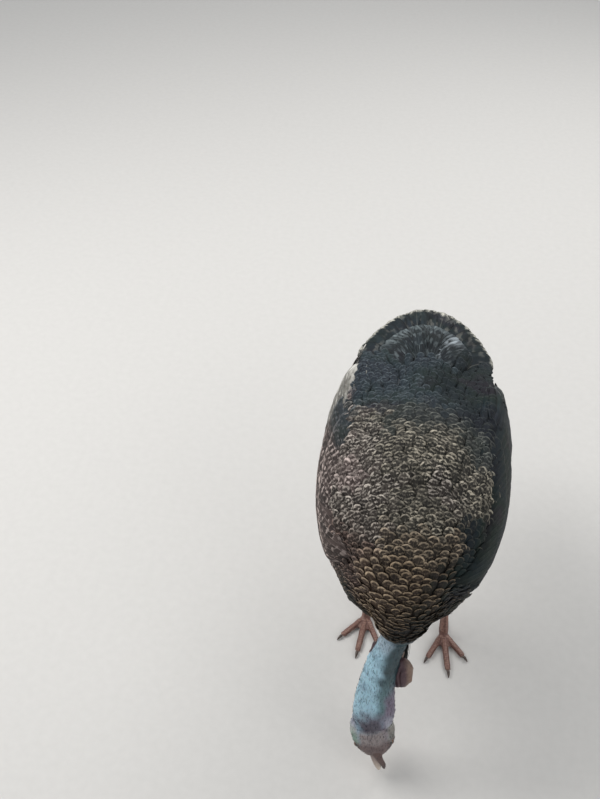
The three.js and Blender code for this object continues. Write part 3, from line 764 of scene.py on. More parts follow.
def bodyOutline(s):  # half the width along a body feather, as a share of the widest
    grown = 0.34 + 0.66 * smooth(s, 0.0, 0.5)
    return grown * np.sqrt(np.clip(1 - np.clip((s - 0.72) / 0.28, 0, 1) ** 3.2, 0, 1))


def quillOutline(s):
    grown = 0.22 + 0.78 * smooth(s, 0.0, 0.3)
    return grown * np.sqrt(np.clip(1 - np.clip((s - 0.86) / 0.14, 0, 1) ** 2, 0, 1))


def vaneFaces(rings, around):  # a closed form: the root, rings of corners and the tip
    def at(k, j):
        return 1 + k * around + j % around

    tip = 1 + rings * around
    faces = [(0, at(0, j + 1), at(0, j)) for j in range(around)]
    faces += [(at(k, j), at(k, j + 1), at(k + 1, j + 1), at(k + 1, j))
              for k in range(rings - 1) for j in range(around)]
    faces += [(at(rings - 1, j), at(rings - 1, j + 1), tip) for j in range(around)]
    return faces


def vanePlaces(kind, outline, path, width, dice, thick, arch, roll, ragged, shaft):
    middle, sideways, upward = path
    count, steps = middle.shape[:2]
    s = np.array(kind["stations"])
    x, under = np.array(kind["across"], float), np.array(kind["under"], float)
    width, roll, arch = (np.broadcast_to(value, (count,)) for value in (width, roll, arch))
    half = width[:, None] / 2 * outline(s)[None, :]
    torn = 1 + ragged * dice.uniform(-1, 0.4, (count, steps, 2))
    reach = np.where(x[None, None, :] < 0, torn[:, :, :1], torn[:, :, 1:]) * half[:, :, None]
    off = x[None, None, :] * reach
    lift = -arch[:, None, None] * off ** 2 / (width[:, None, None] / 2) + roll[:, None, None] * off
    lift = lift - under * thick * (1 - 0.6 * s[None, :, None])  # thinner towards the tip
    crest = (np.abs(x) < 0.03) & (under == 0)
    lift = lift + crest * shaft * (1 - 0.85 * s[None, :, None])
    rims = middle[:, :, None, :] + sideways[:, :, None, :] * off[..., None]
    rims = rims + upward[:, :, None, :] * lift[..., None]
    rims = rims[:, 1:-1].reshape(count, (steps - 2) * len(x), 3)
    return np.concatenate([middle[:, :1], rims, middle[:, -1:]], axis=1)


def colourVanes(mesh, colours, each, dice):  # every vane a little darker or duller than the rule
    ground, edge, marks = colours
    count = len(ground)
    marks = np.hstack([marks, np.zeros((count, 4 - marks.shape[1]))])
    uneven = 0.25 + 0.55 * marks[:, 1:2]  # barred plumage is the most mottled
    jitter = 1 + uneven * dice.uniform(-0.6, 0.6, (count, 1))
    fade = 1 - uneven * dice.random((count, 1)) ** 1.5
    keepColour(mesh, "ground", np.repeat(ground * jitter, each, axis=0))
    keepColour(mesh, "edge", np.repeat(ground + (edge - ground) * fade, each, axis=0))
    keepColour(mesh, "marks", np.repeat(marks, each, axis=0))


def mapVanes(mesh, faces, bake, along, across, under):
    # each vane's upper side fills one half of its patch and its under side the other
    place, patch = bake
    around, last = len(under), len(along) - 1
    corners = np.concatenate([np.array(f) for f in faces])
    isUnder = np.concatenate([np.full(len(f), max(under[(c - 1) % around] for c in f if 0 < c < last))
                              for f in faces])
    cornerV = along[corners] * 0.46 + 0.52 * isUnder - 0.5
    u = place[:, :1] + across[corners][None] * patch[:, :1] / 2
    v = place[:, 1:] + cornerV[None] * patch[:, 1:]
    layer = mesh.uv_layers.new(name="OFBake")
    layer.data.foreach_set("uv", np.stack([u, v], axis=2).astype(np.float32).ravel())


def makeVanes(name, kind, outline, path, width, colours, material, bake, thick=0.0005, arch=0.12,
              roll=0.0, ragged=0.06, shaft=0.0, seed=1):
    # path holds, at every station of every vane, its middle, its side and its up direction;
    # bake holds the patch's middle and size on the bake map, for every vane
    dice = np.random.default_rng(seed)
    count, steps = path[0].shape[:2]
    s, x, under = (np.array(kind[key], float) for key in ("stations", "across", "under"))
    around, rings = len(x), steps - 2
    places = vanePlaces(kind, outline, path, width, dice, thick, arch, roll, ragged, shaft)
    each = places.shape[1]
    faces = vaneFaces(rings, around)
    corners = np.concatenate([np.array(f) for f in faces])
    sizes = np.array([len(f) for f in faces])
    firsts = (np.arange(count) * each)[:, None]
    mesh = bpy.data.meshes.new(name)
    mesh.vertices.add(count * each)
    writeFaces(mesh, (corners[None] + firsts).ravel(), np.tile(sizes, count))
    mesh.vertices.foreach_set("co", places.astype(np.float32).ravel())
    along = np.concatenate([[0], np.repeat(s[1:-1], around), [1]])
    across = np.concatenate([[0], np.tile(x, rings), [0]])
    keepNumber(mesh, "along", np.tile(along, count))
    keepNumber(mesh, "across", np.tile(across, count))
    keepNumber(mesh, "seed", np.repeat(dice.random(count), each))
    colourVanes(mesh, colours, each, dice)
    mapVanes(mesh, faces, bake, along, across, under)
    mesh.shade_smooth()
    mesh.update()
    mesh.validate()
    piece = newObject(name, mesh, material)
    print(name, count, "vanes,", sum(sizes - 2) * count, "triangles")
    return piece


def writeFaces(mesh, corners, sizes):
    mesh.loops.add(len(corners))
    mesh.loops.foreach_set("vertex_index", corners.astype(np.int32))
    mesh.polygons.add(len(sizes))
    starts = np.concatenate([[0], np.cumsum(sizes)[:-1]])
    mesh.polygons.foreach_set("loop_start", starts.astype(np.int32))
    mesh.update(calc_edges=True)


neighbours = [(i, j, k) for i in (-1, 0, 1) for j in (-1, 0, 1) for k in (-1, 0, 1)]


def rowsOfRoots(points, lie, normals, order, row, gap, cell=0.027):
    # roots are taken from the front backwards, each clearing an oval round itself, which
    # sets them in offset rows as real feathers are
    keys = np.floor(points / cell).astype(int)
    table = {}
    for index, key in enumerate(map(tuple, keys)):
        table.setdefault(key, []).append(index)
    table = {key: np.array(value) for key, value in table.items()}
    alive = np.ones(len(points), bool)
    chosen = []
    for index in np.argsort(order):
        if not alive[index]:
            continue
        chosen.append(index)
        key = keys[index]
        near = [table[k] for d in neighbours if (k := (key[0] + d[0], key[1] + d[1], key[2] + d[2])) in table]
        near = np.concatenate(near)
        apart = points[near] - points[index]
        forward = apart @ lie[index]
        beside = apart @ np.cross(lie[index], normals[index])
        alive[near[(forward / (row[index] * 1.155)) ** 2 + (beside / gap[index]) ** 2 < 1]] = False
    return np.array(chosen)


def pathsOverSkin(roots, lie, length, stations, base, tip, tree=None):
    # each path leaves its root along the lie, follows the skin and rises towards its tip
    tree = tree or skinTree
    count, steps = len(roots), len(stations)
    ground = np.empty((count, steps, 3))
    upward = np.empty((count, steps, 3))
    for i in range(count):
        place, way = Vector(roots[i]), Vector(lie[i])
        last = 0.0
        for k, s in enumerate(stations):
            hit, normal, _, _ = tree.find_nearest(place + way * (s - last) * float(length[i]))
            last = s
            place = hit
            way = (way - normal * way.dot(normal)).normalized()
            ground[i, k] = hit
            upward[i, k] = normal
    for _ in range(2):
        upward[:, 1:-1] = (upward[:, :-2] + 2 * upward[:, 1:-1] + upward[:, 2:]) / 4
    upward = unit(upward)
    rise = base[:, None] + (tip - base)[:, None] * np.array(stations)[None, :] ** 0.9
    middle = ground + upward * rise[:, :, None]
    middle[:, 1:-1] = (middle[:, :-2] + 4 * middle[:, 1:-1] + middle[:, 2:]) / 6
    forward = unit(np.gradient(middle, axis=1))
    sideways = unit(np.cross(forward, upward))
    upward = np.cross(sideways, forward)
    return middle, sideways, upward


# The body unrolled round its middle line, from the head to the tail, for the bake map.
middleLine = np.array([
    list(middleOf("head")), [0.0, -0.33, 0.20], [0.0, -0.305, 0.32], [0, -0.26, 0.41],
    [0, -0.16, 0.43], [0, 0.02, 0.43], [0, 0.18, 0.48], [0, 0.40, 0.47]])


def unrolled(points):
    best = np.full(len(points), np.inf)
    along, angle = np.zeros(len(points)), np.zeros(len(points))
    start = 0.0
    for a, b in zip(middleLine, middleLine[1:]):
        way = b - a
        long = np.linalg.norm(way)
        way = way / long
        t = np.clip((points - a) @ way, 0, long)
        out = points - (a + t[:, None] * way)
        gap = np.linalg.norm(out, axis=1)
        back = np.cross([1, 0, 0], way)
        turn = np.arctan2(out[:, 0], out @ back)
        closer = gap < best
        best = np.where(closer, gap, best)
        along = np.where(closer, start + t, along)
        angle = np.where(closer, turn, angle)
        start += long
    return np.stack([angle * 0.15, along], axis=1)  # the angle as a width in metres


bakeMargin = 0.04  # left free round the bake map
bakeFill = 0.75  # how much of its share of the map a vane takes
bakeSizes = (0.003, 0.05)  # the smallest and the largest patch


def spreadOut(flat):  # flat places spread over the whole bake map
    return bakeMargin + (1 - 2 * bakeMargin) * (flat - flat.min(0)) / np.ptp(flat, axis=0)


def bakePatches(points, row, gap, unroll=unrolled):
    flat = unroll(points)
    low, high = flat.min(0), flat.max(0)
    scale = (1 - 2 * bakeMargin) / np.maximum(high - low, 1e-3)
    place = bakeMargin + (flat - low) * scale
    size = np.stack([gap * scale[0], row * scale[1]], axis=1) * bakeFill
    return place, np.clip(size, *bakeSizes)


def plumePaint():
    x, s, seed = attribute("across"), attribute("along"), attribute("seed")
    ground, edge = attribute("ground", "Color"), attribute("edge", "Color")
    marks = attribute("marks", "Color")
    edgeWidth, bars, gloss = (Wire.node("ShaderNodeSeparateColor", {}, k, Color=marks) for k in range(3))
    tipOnly = attribute("marks", "Alpha")
    wide = x.maths("ABSOLUTE")
    place = joinedPlace(x * 0.9, s * 2.4, seed * 61.0)
    blotch = grain(place, 2.6, 4.0, 0.62)
    speck = grain(place, 9.0, 3.0, 0.6)
    # distance from the middle to the rounded rim
    tip = ((s - 0.55).maths("MAXIMUM", 0.0)) / 0.45
    rim = (wide * wide * 0.6 * (1 - tipOnly) + tip * tip).maths("SQRT") + (blotch - 0.5) * 0.42
    border = rim.between(1.0 - 1.25 * edgeWidth, 1.02 - 0.45 * edgeWidth)
    whole = grain(place, 1.15, 1.0).between(0.44, 0.64)  # in barred plumage the rim is broken
    border = border * (1 - bars * 1.1 * (1 - whole))
    line = s * 5.2 - wide * 0.35 + (blotch - 0.5) * 1.1 + seed * 0.7
    wave = (line * 6.283).maths("SINE")
    bar = wave.between(0.05, 0.75) * bars * (0.15 + speck * 1.5).maths("MINIMUM", 1.0)
    bar = bar * grain(place, 2.1, 1.0).between(0.38, 0.62)
    pale = border.maths("MAXIMUM", bar)
    worn = pale * (0.55 + 0.75 * speck).maths("MINIMUM", 1.0)
    dark = mixed(1.0, ground, (0.42, 0.40, 0.39, 1), "MULTIPLY")
    centre = mixed(blotch.between(0.35, 0.65), dark, ground)
    # a painted iridescent sheen: teal, green and violet mixed into the centre colour as far as the gloss mark
    # goes
    sheenColour = Wire.node("ShaderNodeValToRGB", {"stops": [
        (0.30, shade(24, 40, 66)), (0.47, shade(26, 66, 74)), (0.58, shade(30, 70, 54)),
        (0.72, shade(58, 46, 66))]}, 0, Fac=grain(objectPlace(), 14.0, 1.0))
    centre = mixed(gloss * 0.42, centre, sheenColour)
    colour = mixed(worn, centre, edge)
    # barbs run slantwise from the shaft to the rim
    slant = s * 46.0 + wide * 9.0
    barb = (slant * 6.283).maths("SINE") * 0.5 + 0.5
    shaftLine = 1 - wide.between(0.015, 0.06)
    colour = mixed(shaftLine * 0.45 * (1 - s), colour, edge)
    colour = mixed((1 - barb) * 0.22, colour, dark)
    # painted shade over the root half of each vane, where the feathers in front cover it
    rootShade = 1 - s.between(0.05, 0.5)
    colour = mixed(rootShade * 0.6, colour, dark)
    height = barb * 0.35 + shaftLine * 1.2 + speck * 0.3
    return Wire.node("ShaderNodeBsdfPrincipled", {}, 0, **{
        "Base Color": colour, "Roughness": 0.78 - gloss * 0.30 - worn * 0.02,
        "Metallic": gloss * 0.25 * (1 - worn), "Normal": bumped(height, 0.35, 0.0006),
        "Specular IOR Level": 0.22})


plumeMaterial = newMaterial("plumage", plumePaint)

# The body coat.
coatRows = {  # spacing of the rows and along a row, small where the coat begins and full sized
    "neck_lower": ((0.0050, 0.0070), (0.0092, 0.0125)),
    "trunk": ((0.0100, 0.0135), (0.0118, 0.0160)),
    "thigh": ((0.0058, 0.0090), (0.0125, 0.0175)),
    "undertail_coverts": ((0.0160, 0.0210), (0.0170, 0.0220)),
    "wing": ((0.0090, 0.0125), (0.0118, 0.0155)),
}
vaneSizes = {"long": 3.3, "wide": 1.5, "rootLift": -0.0012, "partingLift": 0.0026}


parting = {"y": (-0.30, -0.285), "z": (0.345, 0.37)}


def partingAt(points, owners):  # under the neck the coat parts, and the feathers' roots show
    return (owners == "neck_lower") * smooth(points[:, 1], *parting["y"]) * (
        1 - smooth(points[:, 2], *parting["z"]))


coatGrowth = {  # the axis and the places between which the spacing grows from small to full
    "neck_lower": (2, 0.32, 0.45),
    "trunk": (1, -0.2, 0.0),
    "thigh": (2, hockTop - 0.01, hockTop + 0.12),
    "undertail_coverts": (1, 0.05, 0.2),
    "wing": (1, -0.24, -0.10),
}


def spacingAt(points, owners):
    row, gap = np.zeros(len(points)), np.zeros(len(points))
    for key, (small, full) in coatRows.items():
        here = np.char.startswith(owners, key)
        axis, low, high = coatGrowth[key]
        share = smooth(points[here, axis], low, high)
        for values, k in ((row, 0), (gap, 1)):
            values[here] = small[k] + (full[k] - small[k]) * share
    return row, gap


wingAxis = 0.43  # the height that angles round the body are taken from
smallCovertLine = {"front": -0.28, "rear": -0.11, "low": 6, "high": 40, "overlap": 10,
                   "footAt": (-0.28, -0.165, -0.10, -0.07), "foot": (-12, -31, -33, -90)}


def wingAngle(points):
    return np.degrees(np.arctan2(points[:, 2] - wingAxis, np.abs(points[:, 0])))


def underQuills(points):  # where the wing is covered by its long feathers
    line = smallCovertLine
    share = np.clip((points[:, 1] - line["front"]) / (line["rear"] - line["front"]), 0, 1)
    overlap = line["overlap"] * (1 - 0.8 * share)
    angle = wingAngle(points)
    return (angle < line["low"] + share * (line["high"] - line["low"]) - overlap) & (
        angle > np.interp(points[:, 1], line["footAt"], line["foot"]))


coatEnds = {"collar": 0.010, "rumpFront": 0.03, "rumpUp": 0.49}
wingBare = np.char.startswith(skinOwners, "wing") & underQuills(skinPlaces)
collar = aboveCollar(skinPlaces, skinOwners, coatEnds["collar"])
rumpBare = (skinOwners == "trunk") & (skinPlaces[:, 1] > coatEnds["rumpFront"]) & (
    skinPlaces[:, 2] > coatEnds["rumpUp"])
coated = ~np.isin(skinOwners, bareNodes + legNodes) & ~wingBare & ~collar
candidates = np.flatnonzero(coated)[::2]


def coatRoots():  # none grow under the rump's own feathers
    points, normals = skinPlaces[candidates], skinNormals[candidates]
    owners = skinOwners[candidates]
    lie = lieAt(points, owners, normals)
    row, gap = spacingAt(points, owners)
    chosen = rowsOfRoots(points, lie, normals, orderAt(points, owners), row, gap)
    chosen = chosen[~rumpBare[candidates][chosen]]
    return [a[chosen] for a in (points, normals, owners, lie, row, gap)]


coat = coatRoots()
print("coat roots:", len(coat[0]))


backFrom = 0.44  # the height at which breast feathers give way to back feathers
mantleFrom = {"y": -0.27, "z": 0.42}


def coatGroups(points, owners):
    names = np.full(len(points), "back_feathers", dtype="U24")
    names[points[:, 2] < backFrom] = "breast_feathers"
    onNeck = owners == "neck_lower"
    names[onNeck] = "neck_feathers"
    names[onNeck & (points[:, 1] > mantleFrom["y"]) & (points[:, 2] > mantleFrom["z"])] = "mantle_feathers"
    names[np.char.startswith(owners, "thigh_left")] = "thigh_feathers_left"
    names[np.char.startswith(owners, "thigh_right")] = "thigh_feathers_right"
    names[owners == "undertail_coverts"] = "undertail_feathers"
    for side in sides:
        names[np.char.startswith(owners, f"wing_{side}")] = f"wing_{side}_small_coverts"
    return names


coatScatter = {"length": (0.92, 1.1), "width": (0.93, 1.07), "sway": 0.13, "tip": (-0.0006, 0.0012),
               "roll": 0.07}
tipRise = {"depth": 0.85, "length": 0.20}  # the tips rise by these shares, whichever is less


def layCoat():
    points, normals, owners, lie, row, gap = coat
    dice = np.random.default_rng(7)
    groups = coatGroups(points, owners)
    for seed, group in enumerate(sorted(set(groups))):
        here = groups == group
        n = here.sum()
        length = row[here] * vaneSizes["long"] * dice.uniform(*coatScatter["length"], n)
        width = gap[here] * vaneSizes["wide"] * dice.uniform(*coatScatter["width"], n)
        sway = dice.normal(0, coatScatter["sway"], (n, 1))
        way = unit(lie[here] + np.cross(lie[here], normals[here]) * sway)
        depth = depthAt(points[here], owners[here])
        base = vaneSizes["rootLift"] + vaneSizes["partingLift"] * partingAt(points[here], owners[here])
        tip = np.minimum(depth * tipRise["depth"], length * tipRise["length"])
        tip = tip + dice.uniform(*coatScatter["tip"], n)
        path = pathsOverSkin(points[here], way, length, bodyVane["stations"], base, tip)
        colours = plumageAt(points[here], owners[here])
        bake = bakePatches(points[here], row[here], gap[here])
        piece = makeVanes(group, bodyVane, bodyOutline, path, width, colours, plumeMaterial, bake,
                          roll=dice.normal(0, coatScatter["roll"], n), arch=0.16, ragged=0.11,
                          seed=seed + 20)
        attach(piece, "root")


layCoat()
print("coat laid")

# The wings' long feathers, laid over the wing's outer face.
# Angles up from the side in degrees, places along the body in metres.
wingFace = {"inset": 0.006, "low": -70, "high": 86, "step": 4, "front": -0.31, "rear": 0.29,
            "along": 0.01, "from": 0.5, "probe": 0.46, "rounds": 4}
quillForm = {"arch": 0.10, "ragged": 0.03, "shaft": 0.0007, "thick": 0.0006}
wingRoll = 0.075  # how far one side of each vane is raised over its neighbour
quillScatter = {"root": (0.0015, 0.4), "tip": (0.003, 0.6), "longest": 0.024, "uneven": 0.004}
quillLift = {"tip": 0.0015, "uneven": 0.0004, "sunk": 0.006, "by": 0.3}  # roots lie in the coat
# The uppermost coverts of the right wing are dark.
darkCoverts = {"layers": ("greater_coverts", "median_coverts"), "share": 0.85, "between": (0.72, 0.92)}
wingSettle = {"left": (-0.004, -2.0), "right": (0.016, 1.5)}  # how far each wing is back and up
tipsDrawnIn = {("left", "primaries"): (0.040, 7), ("left", "secondaries"): (0.030, 0)}  # forwards, down


def wingSurface(side):  # the wing's outer face as a smooth distance from the body's middle
    face = wingFace
    names = [name for name in nodes if name.startswith(f"wing_{side}")] + ["trunk", "neck_lower"]
    places, corners, _ = joinedNodes(names)
    tree = treeOf(places, corners)
    ys = np.arange(face["front"], face["rear"], face["along"])
    angles = np.radians(np.arange(face["low"], face["high"], face["step"]))
    reach = np.full((len(ys), len(angles)), np.nan)
    for i, y in enumerate(ys):
        for j, angle in enumerate(angles):
            out = Vector((sides[side] * math.cos(angle), 0, math.sin(angle)))
            start = Vector((0, y, wingAxis)) + out * face["from"]
            hit = tree.ray_cast(start, -out)[0]
            if hit is not None and (hit - start).length < face["probe"]:
                reach[i, j] = face["from"] - (hit - start).length
    steps = np.arange(len(angles))
    for i in range(len(ys)):
        known = ~np.isnan(reach[i])
        reach[i] = np.interp(steps, steps[known], reach[i][known]) if known.any() else reach[i - 1]
    for _ in range(face["rounds"]):
        padded = np.pad(reach, 1, mode="edge")
        reach = (padded[:-2, 1:-1] + padded[2:, 1:-1] + padded[1:-1, :-2] + padded[1:-1, 2:]
                 + 2 * reach) / 6
    reach = reach - face["inset"]

    def at(y, degrees):
        row = np.clip((y - face["front"]) / face["along"], 0, len(ys) - 1.001)
        column = np.clip((degrees - face["low"]) / face["step"], 0, len(angles) - 1.001)
        i, j = row.astype(int), column.astype(int)
        f, g = row - i, column - j
        r = ((reach[i, j] * (1 - g) + reach[i, j + 1] * g) * (1 - f)
             + (reach[i + 1, j] * (1 - g) + reach[i + 1, j + 1] * g) * f)
        angle = np.radians(degrees)
        return np.stack([sides[side] * r * np.cos(angle), y, wingAxis + r * np.sin(angle)], axis=-1)

    return at


# Each layer's roots and tips lie on two lines, given as places along the body and angles up
# from the side: how many feathers, the first and the last root and tip, width and lift.
wingLayers = {
    "primaries": (9, (-0.05, -14), (0.01, 10), (0.11, -26), (0.226, 18), 0.026, 0.0005),
    "secondaries": (16, (-0.265, -6), (-0.03, 26), (-0.07, -38), (0.195, 8), 0.040, 0.0020),
    "primary_coverts": (7, (-0.278, -12), (-0.268, 0), (-0.165, -37), (-0.13, -24), 0.018, 0.0030),
    "tertials": (7, (-0.10, 24), (-0.03, 42), (0.085, 12), (0.130, 31), 0.038, 0.0030),
    "greater_coverts": (17, (-0.275, -2), (-0.07, 38), (-0.172, -17), (0.03, 26), 0.030, 0.0035),
    "median_coverts": (17, (-0.285, 6), (-0.11, 43), (-0.218, -6), (-0.03, 33), 0.026, 0.0050),
}
layerNames = {"primaries": "primary_quills", "secondaries": "secondary_quills"}
# the right wing is given pale plumage and the left black, and so are their tertials: partly their own
# colours, partly painted light on the right and painted shade on the left
wingKinds = {"left": "wingBlack", "right": "wingPink"}
wingTips = {  # some layers differ: ground, edge, width of the edge, bars, gloss, which also sets the painted sheen
    ("right", "tertials"): (shade(150, 148, 141), shade(250, 246, 236), 0.30, 0.45, 0.0),
    ("right", "primaries"): (shade(48, 50, 53), shade(236, 230, 220), 0.14, 0.35, 0.10),
    ("left", "tertials"): (shade(26, 30, 34), shade(92, 96, 94), 0.10, 0.15, 0.55),
}


def paired(colours, count):  # one set of colours and marks for each of the feathers
    ground, edge, *marks = colours
    return (np.tile(np.array(ground), (count, 1)), np.tile(np.array(edge), (count, 1)),
            np.tile(np.array(marks), (count, 1)))


def pathFrame(middle, outward):
    forward = unit(np.gradient(middle, axis=1))
    sideways = unit(np.cross(forward, outward))
    return middle, sideways, np.cross(sideways, forward)


def fanPlaces(share):  # a row of feathers side by side on the bake map
    count = len(share)
    place = np.stack([bakeMargin + (1 - 2 * bakeMargin) * share, np.full(count, 0.5)], axis=1)
    return place, np.tile([0.8 / count, 0.88], (count, 1))


def outwardOf(surface, y, degrees):  # the direction straight out of the wing's face
    turn, shift = 0.5, 0.004
    outward = unit(np.cross(surface(y, degrees + turn) - surface(y, degrees - turn),
                            surface(y + shift, degrees) - surface(y - shift, degrees)))
    fromAxis = surface(y, degrees) - [0, 0, wingAxis]
    return outward * np.sign((outward * fromAxis).sum(-1, keepdims=True))


def layWing(side):
    surface = wingSurface(side)
    back, up = wingSettle[side]
    dice = np.random.default_rng(31 if side == "left" else 32)
    for layer, (count, root0, root1, tip0, tip1, width, lift) in wingLayers.items():
        share = np.linspace(0, 1, count)[:, None]
        s = np.array(quillVane["stations"])[None, :]
        roots = np.array(root0) + share * (np.array(root1) - root0)
        roots = roots + dice.normal(0, quillScatter["root"], (count, 2))
        tips = np.array(tip0) + share * (np.array(tip1) - tip0)
        tips = tips + dice.normal(0, quillScatter["tip"], (count, 2))
        tips -= np.array(tipsDrawnIn.get((side, layer), (0, 0))) * share
        if layer == "tertials":  # the middle ones are the longest
            longest = quillScatter["longest"]
            tips[:, 0] += longest * np.sin(share[:, 0] * math.pi) - longest / 2 + dice.normal(
                0, quillScatter["uneven"], count)
        y = roots[:, :1] + (tips - roots)[:, :1] * s + back
        degrees = roots[:, 1:] + (tips - roots)[:, 1:] * (s - 0.10 * np.sin(s * math.pi)) + up
        outward = outwardOf(surface, y, degrees)
        rise = lift + quillLift["tip"] * s + dice.uniform(0, quillLift["uneven"], (count, 1))
        rise = rise - quillLift["sunk"] * (1 - smooth(s, 0, quillLift["by"]))
        path = pathFrame(surface(y, degrees) + outward * rise[..., None], outward)
        colours = paired(wingTips.get((side, layer), plumage[wingKinds[side]]), count)
        if side == "right" and layer in darkCoverts["layers"]:
            dark = paired(plumage["rump"], count)
            blend = darkCoverts["share"] * smooth(share, *darkCoverts["between"])
            colours = [a + (b - a) * blend for a, b in zip(colours, dark)]
        piece = makeVanes(f"wing_{side}_{layerNames.get(layer, layer)}", quillVane, quillOutline, path,
                          np.full(count, width) * dice.uniform(0.94, 1.06, count), colours,
                          plumeMaterial, fanPlaces(share[:, 0]), roll=wingRoll * sides[side],
                          seed=50 + len(layer), **quillForm)
        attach(piece, "root")
        if layer == "primaries":
            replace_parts(piece, f"wing_{side}_primaries")


for side in sides:
    layWing(side)
print("wings laid")

# The tail: fans of long feathers over the tail's own arch.
tailLow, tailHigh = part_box("tail_feathers")
covertLow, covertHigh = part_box("tail_coverts")
tailFans = {  # count, half the spread, reach in the middle and at the sides, width, sink, root
    "tail_quills": (18, 29, tailHigh.y - tailLow.y, 0.285, 0.050, 0.0030, tailLow.y),
    "tail_long_coverts": (31, 26, covertHigh.y - covertLow.y, 0.234, 0.022, 0.0015, covertLow.y),
}
tailColours = {  # ground, edge, width of the edge, bars, gloss (which also sets the painted sheen), whether the tip alone is pale
    "tail_quills": (shade(28, 35, 40), shade(214, 210, 196), 0.085, 0.15, 0.25, 1.0),
    "tail_long_coverts": (shade(27, 34, 38), shade(122, 132, 134), 0.15, 0.65, 0.12, 0.0),
}
whiteTips = {"share": 0.6, "spread": 0.09, "colour": shade(206, 216, 222), "wider": 0.26}
# Where the rump's feathers grow and how uneven they are, in metres; wingLow is in degrees.
rumpForm = {"row": (0.0100, 0.0115), "gap": (0.0115, 0.0110), "long": 4.2, "wide": 1.5, "reach": 0.072,
            "sink": 0.006, "front": -0.035, "wingLow": 35, "wingFront": -0.015,
            "wingRear": {"left": 0.185, "right": 0.14}, "seam": (-0.25, 0.05),
            "between": (0.068, 0.122), "half": 0.135, "halfUntil": 0.09, "grown": (0.0, 0.16),
            "scatter": 0.4, "length": (0.88, 1.12), "width": (0.93, 1.07), "sway": 0.08,
            "tip": (-0.0010, 0.0012)}
downForm = {"margin": 2, "front": -0.05, "rear": 0.15, "sink": 0.0045, "thick": 0.002}
sheetForm = {"side": 0.176, "front": -0.26, "rear": 0.31, "step": 0.004, "closing": 5, "seam": 4,
             "ground": 0.30}
# How the fans' feathers are spread, and how much painted shadow darkens the bird's left side.
fanForm = {"uneven": 0.12, "ragged": 0.002, "from": 0.012, "within": 0.97, "tilt": 62, "lap": 0.0006,
           "shaded": (0.55, 0.15, 0.7)}
onQuills = {"down": (0.016, 0.55, 1.0), "deep": (0.007, 0.35, 0.8)}  # how the coverts lie on the quills
fanVane = {"arch": 0.06, "ragged": 0.05, "shaft": 0.0008, "thick": 0.0007}


def cellsRound(grid):  # every cell's own value and those of the eight round it
    return np.stack([np.roll(grid, (a, b), (0, 1)) for a in (-1, 0, 1) for b in (-1, 0, 1)])


def layFan(name, tree):
    form, areCoverts = fanForm, name != "tail_quills"
    count, spread, middleReach, sideReach, width, sink, rootY = tailFans[name]
    dice = np.random.default_rng(len(name))
    share = np.linspace(-1, 1, count)
    share = share + dice.normal(0, form["uneven"] / count, count)
    angle = np.radians(spread) * share
    reach = middleReach + (sideReach - middleReach) * share ** 2
    reach = reach - np.abs(dice.normal(0, form["ragged"], count))
    s = np.array(quillVane["stations"])
    radius = form["from"] + (reach[:, None] - form["from"]) * s[None, :]
    x = radius * np.sin(angle)[:, None]
    y = rootY + radius * np.cos(angle)[:, None]
    z = np.empty_like(x)
    for i in range(count):
        for k in range(len(s)):
            inward = rootY + (y[i, k] - rootY) * form["within"]
            probe = Vector((x[i, k] * form["within"], min(y[i, k], inward), 1.0))
            hit = tree.ray_cast(probe, Vector((0, 0, -1)))[0]
            z[i, k] = hit.z if hit is not None else np.nan
        known = ~np.isnan(z[i])
        z[i] = np.interp(s, s[known], z[i][known]) if known.any() else z[i - 1]
    z[:, 1:-1] = (z[:, :-2] + 2 * z[:, 1:-1] + z[:, 2:]) / 4
    if areCoverts:  # their tips come down onto the quills
        fall, low, high = onQuills["down"]
        z -= fall * smooth(s, low, high)[None, :]
    tilt = np.radians(form["tilt"]) * share[:, None] * (0.35 + 0.65 * s[None, :])
    outward = unit(np.stack([np.sin(tilt), 0 * tilt + 0.08, np.cos(tilt)], axis=-1))
    layer = sink + form["lap"] * np.abs(share[:, None]) * count / 4
    if areCoverts:  # their bases lie deep under the rump's feathers
        fall, low, high = onQuills["deep"]
        layer = layer + fall * (1 - smooth(s, low, high))[None, :]
    middle = np.stack([x, y, z], axis=-1) - outward * (layer + 0 * s[None, :])[..., None]
    ground, edge, marks = paired(tailColours[name], count)
    darkest, low, high = form["shaded"]
    shadow = (1 - darkest * smooth(share, low, high))[:, None]  # painted shadow: the bird's left is darker; only the coverts' edges take it
    if areCoverts:  # a few have white tips
        white = np.exp(-((share - whiteTips["share"]) / whiteTips["spread"]) ** 2)[:, None]
        edge = edge * shadow + (np.array(whiteTips["colour"]) - edge * shadow) * white
        marks[:, :1] += whiteTips["wider"] * white
    piece = makeVanes(name, quillVane, quillOutline, pathFrame(middle, outward), np.full(count, width),
                      (ground, edge, marks), plumeMaterial, fanPlaces((share + 1) / 2),
                      roll=-0.06 * np.sign(share), seed=70 + count, **fanVane)
    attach(piece, "root")
    return piece


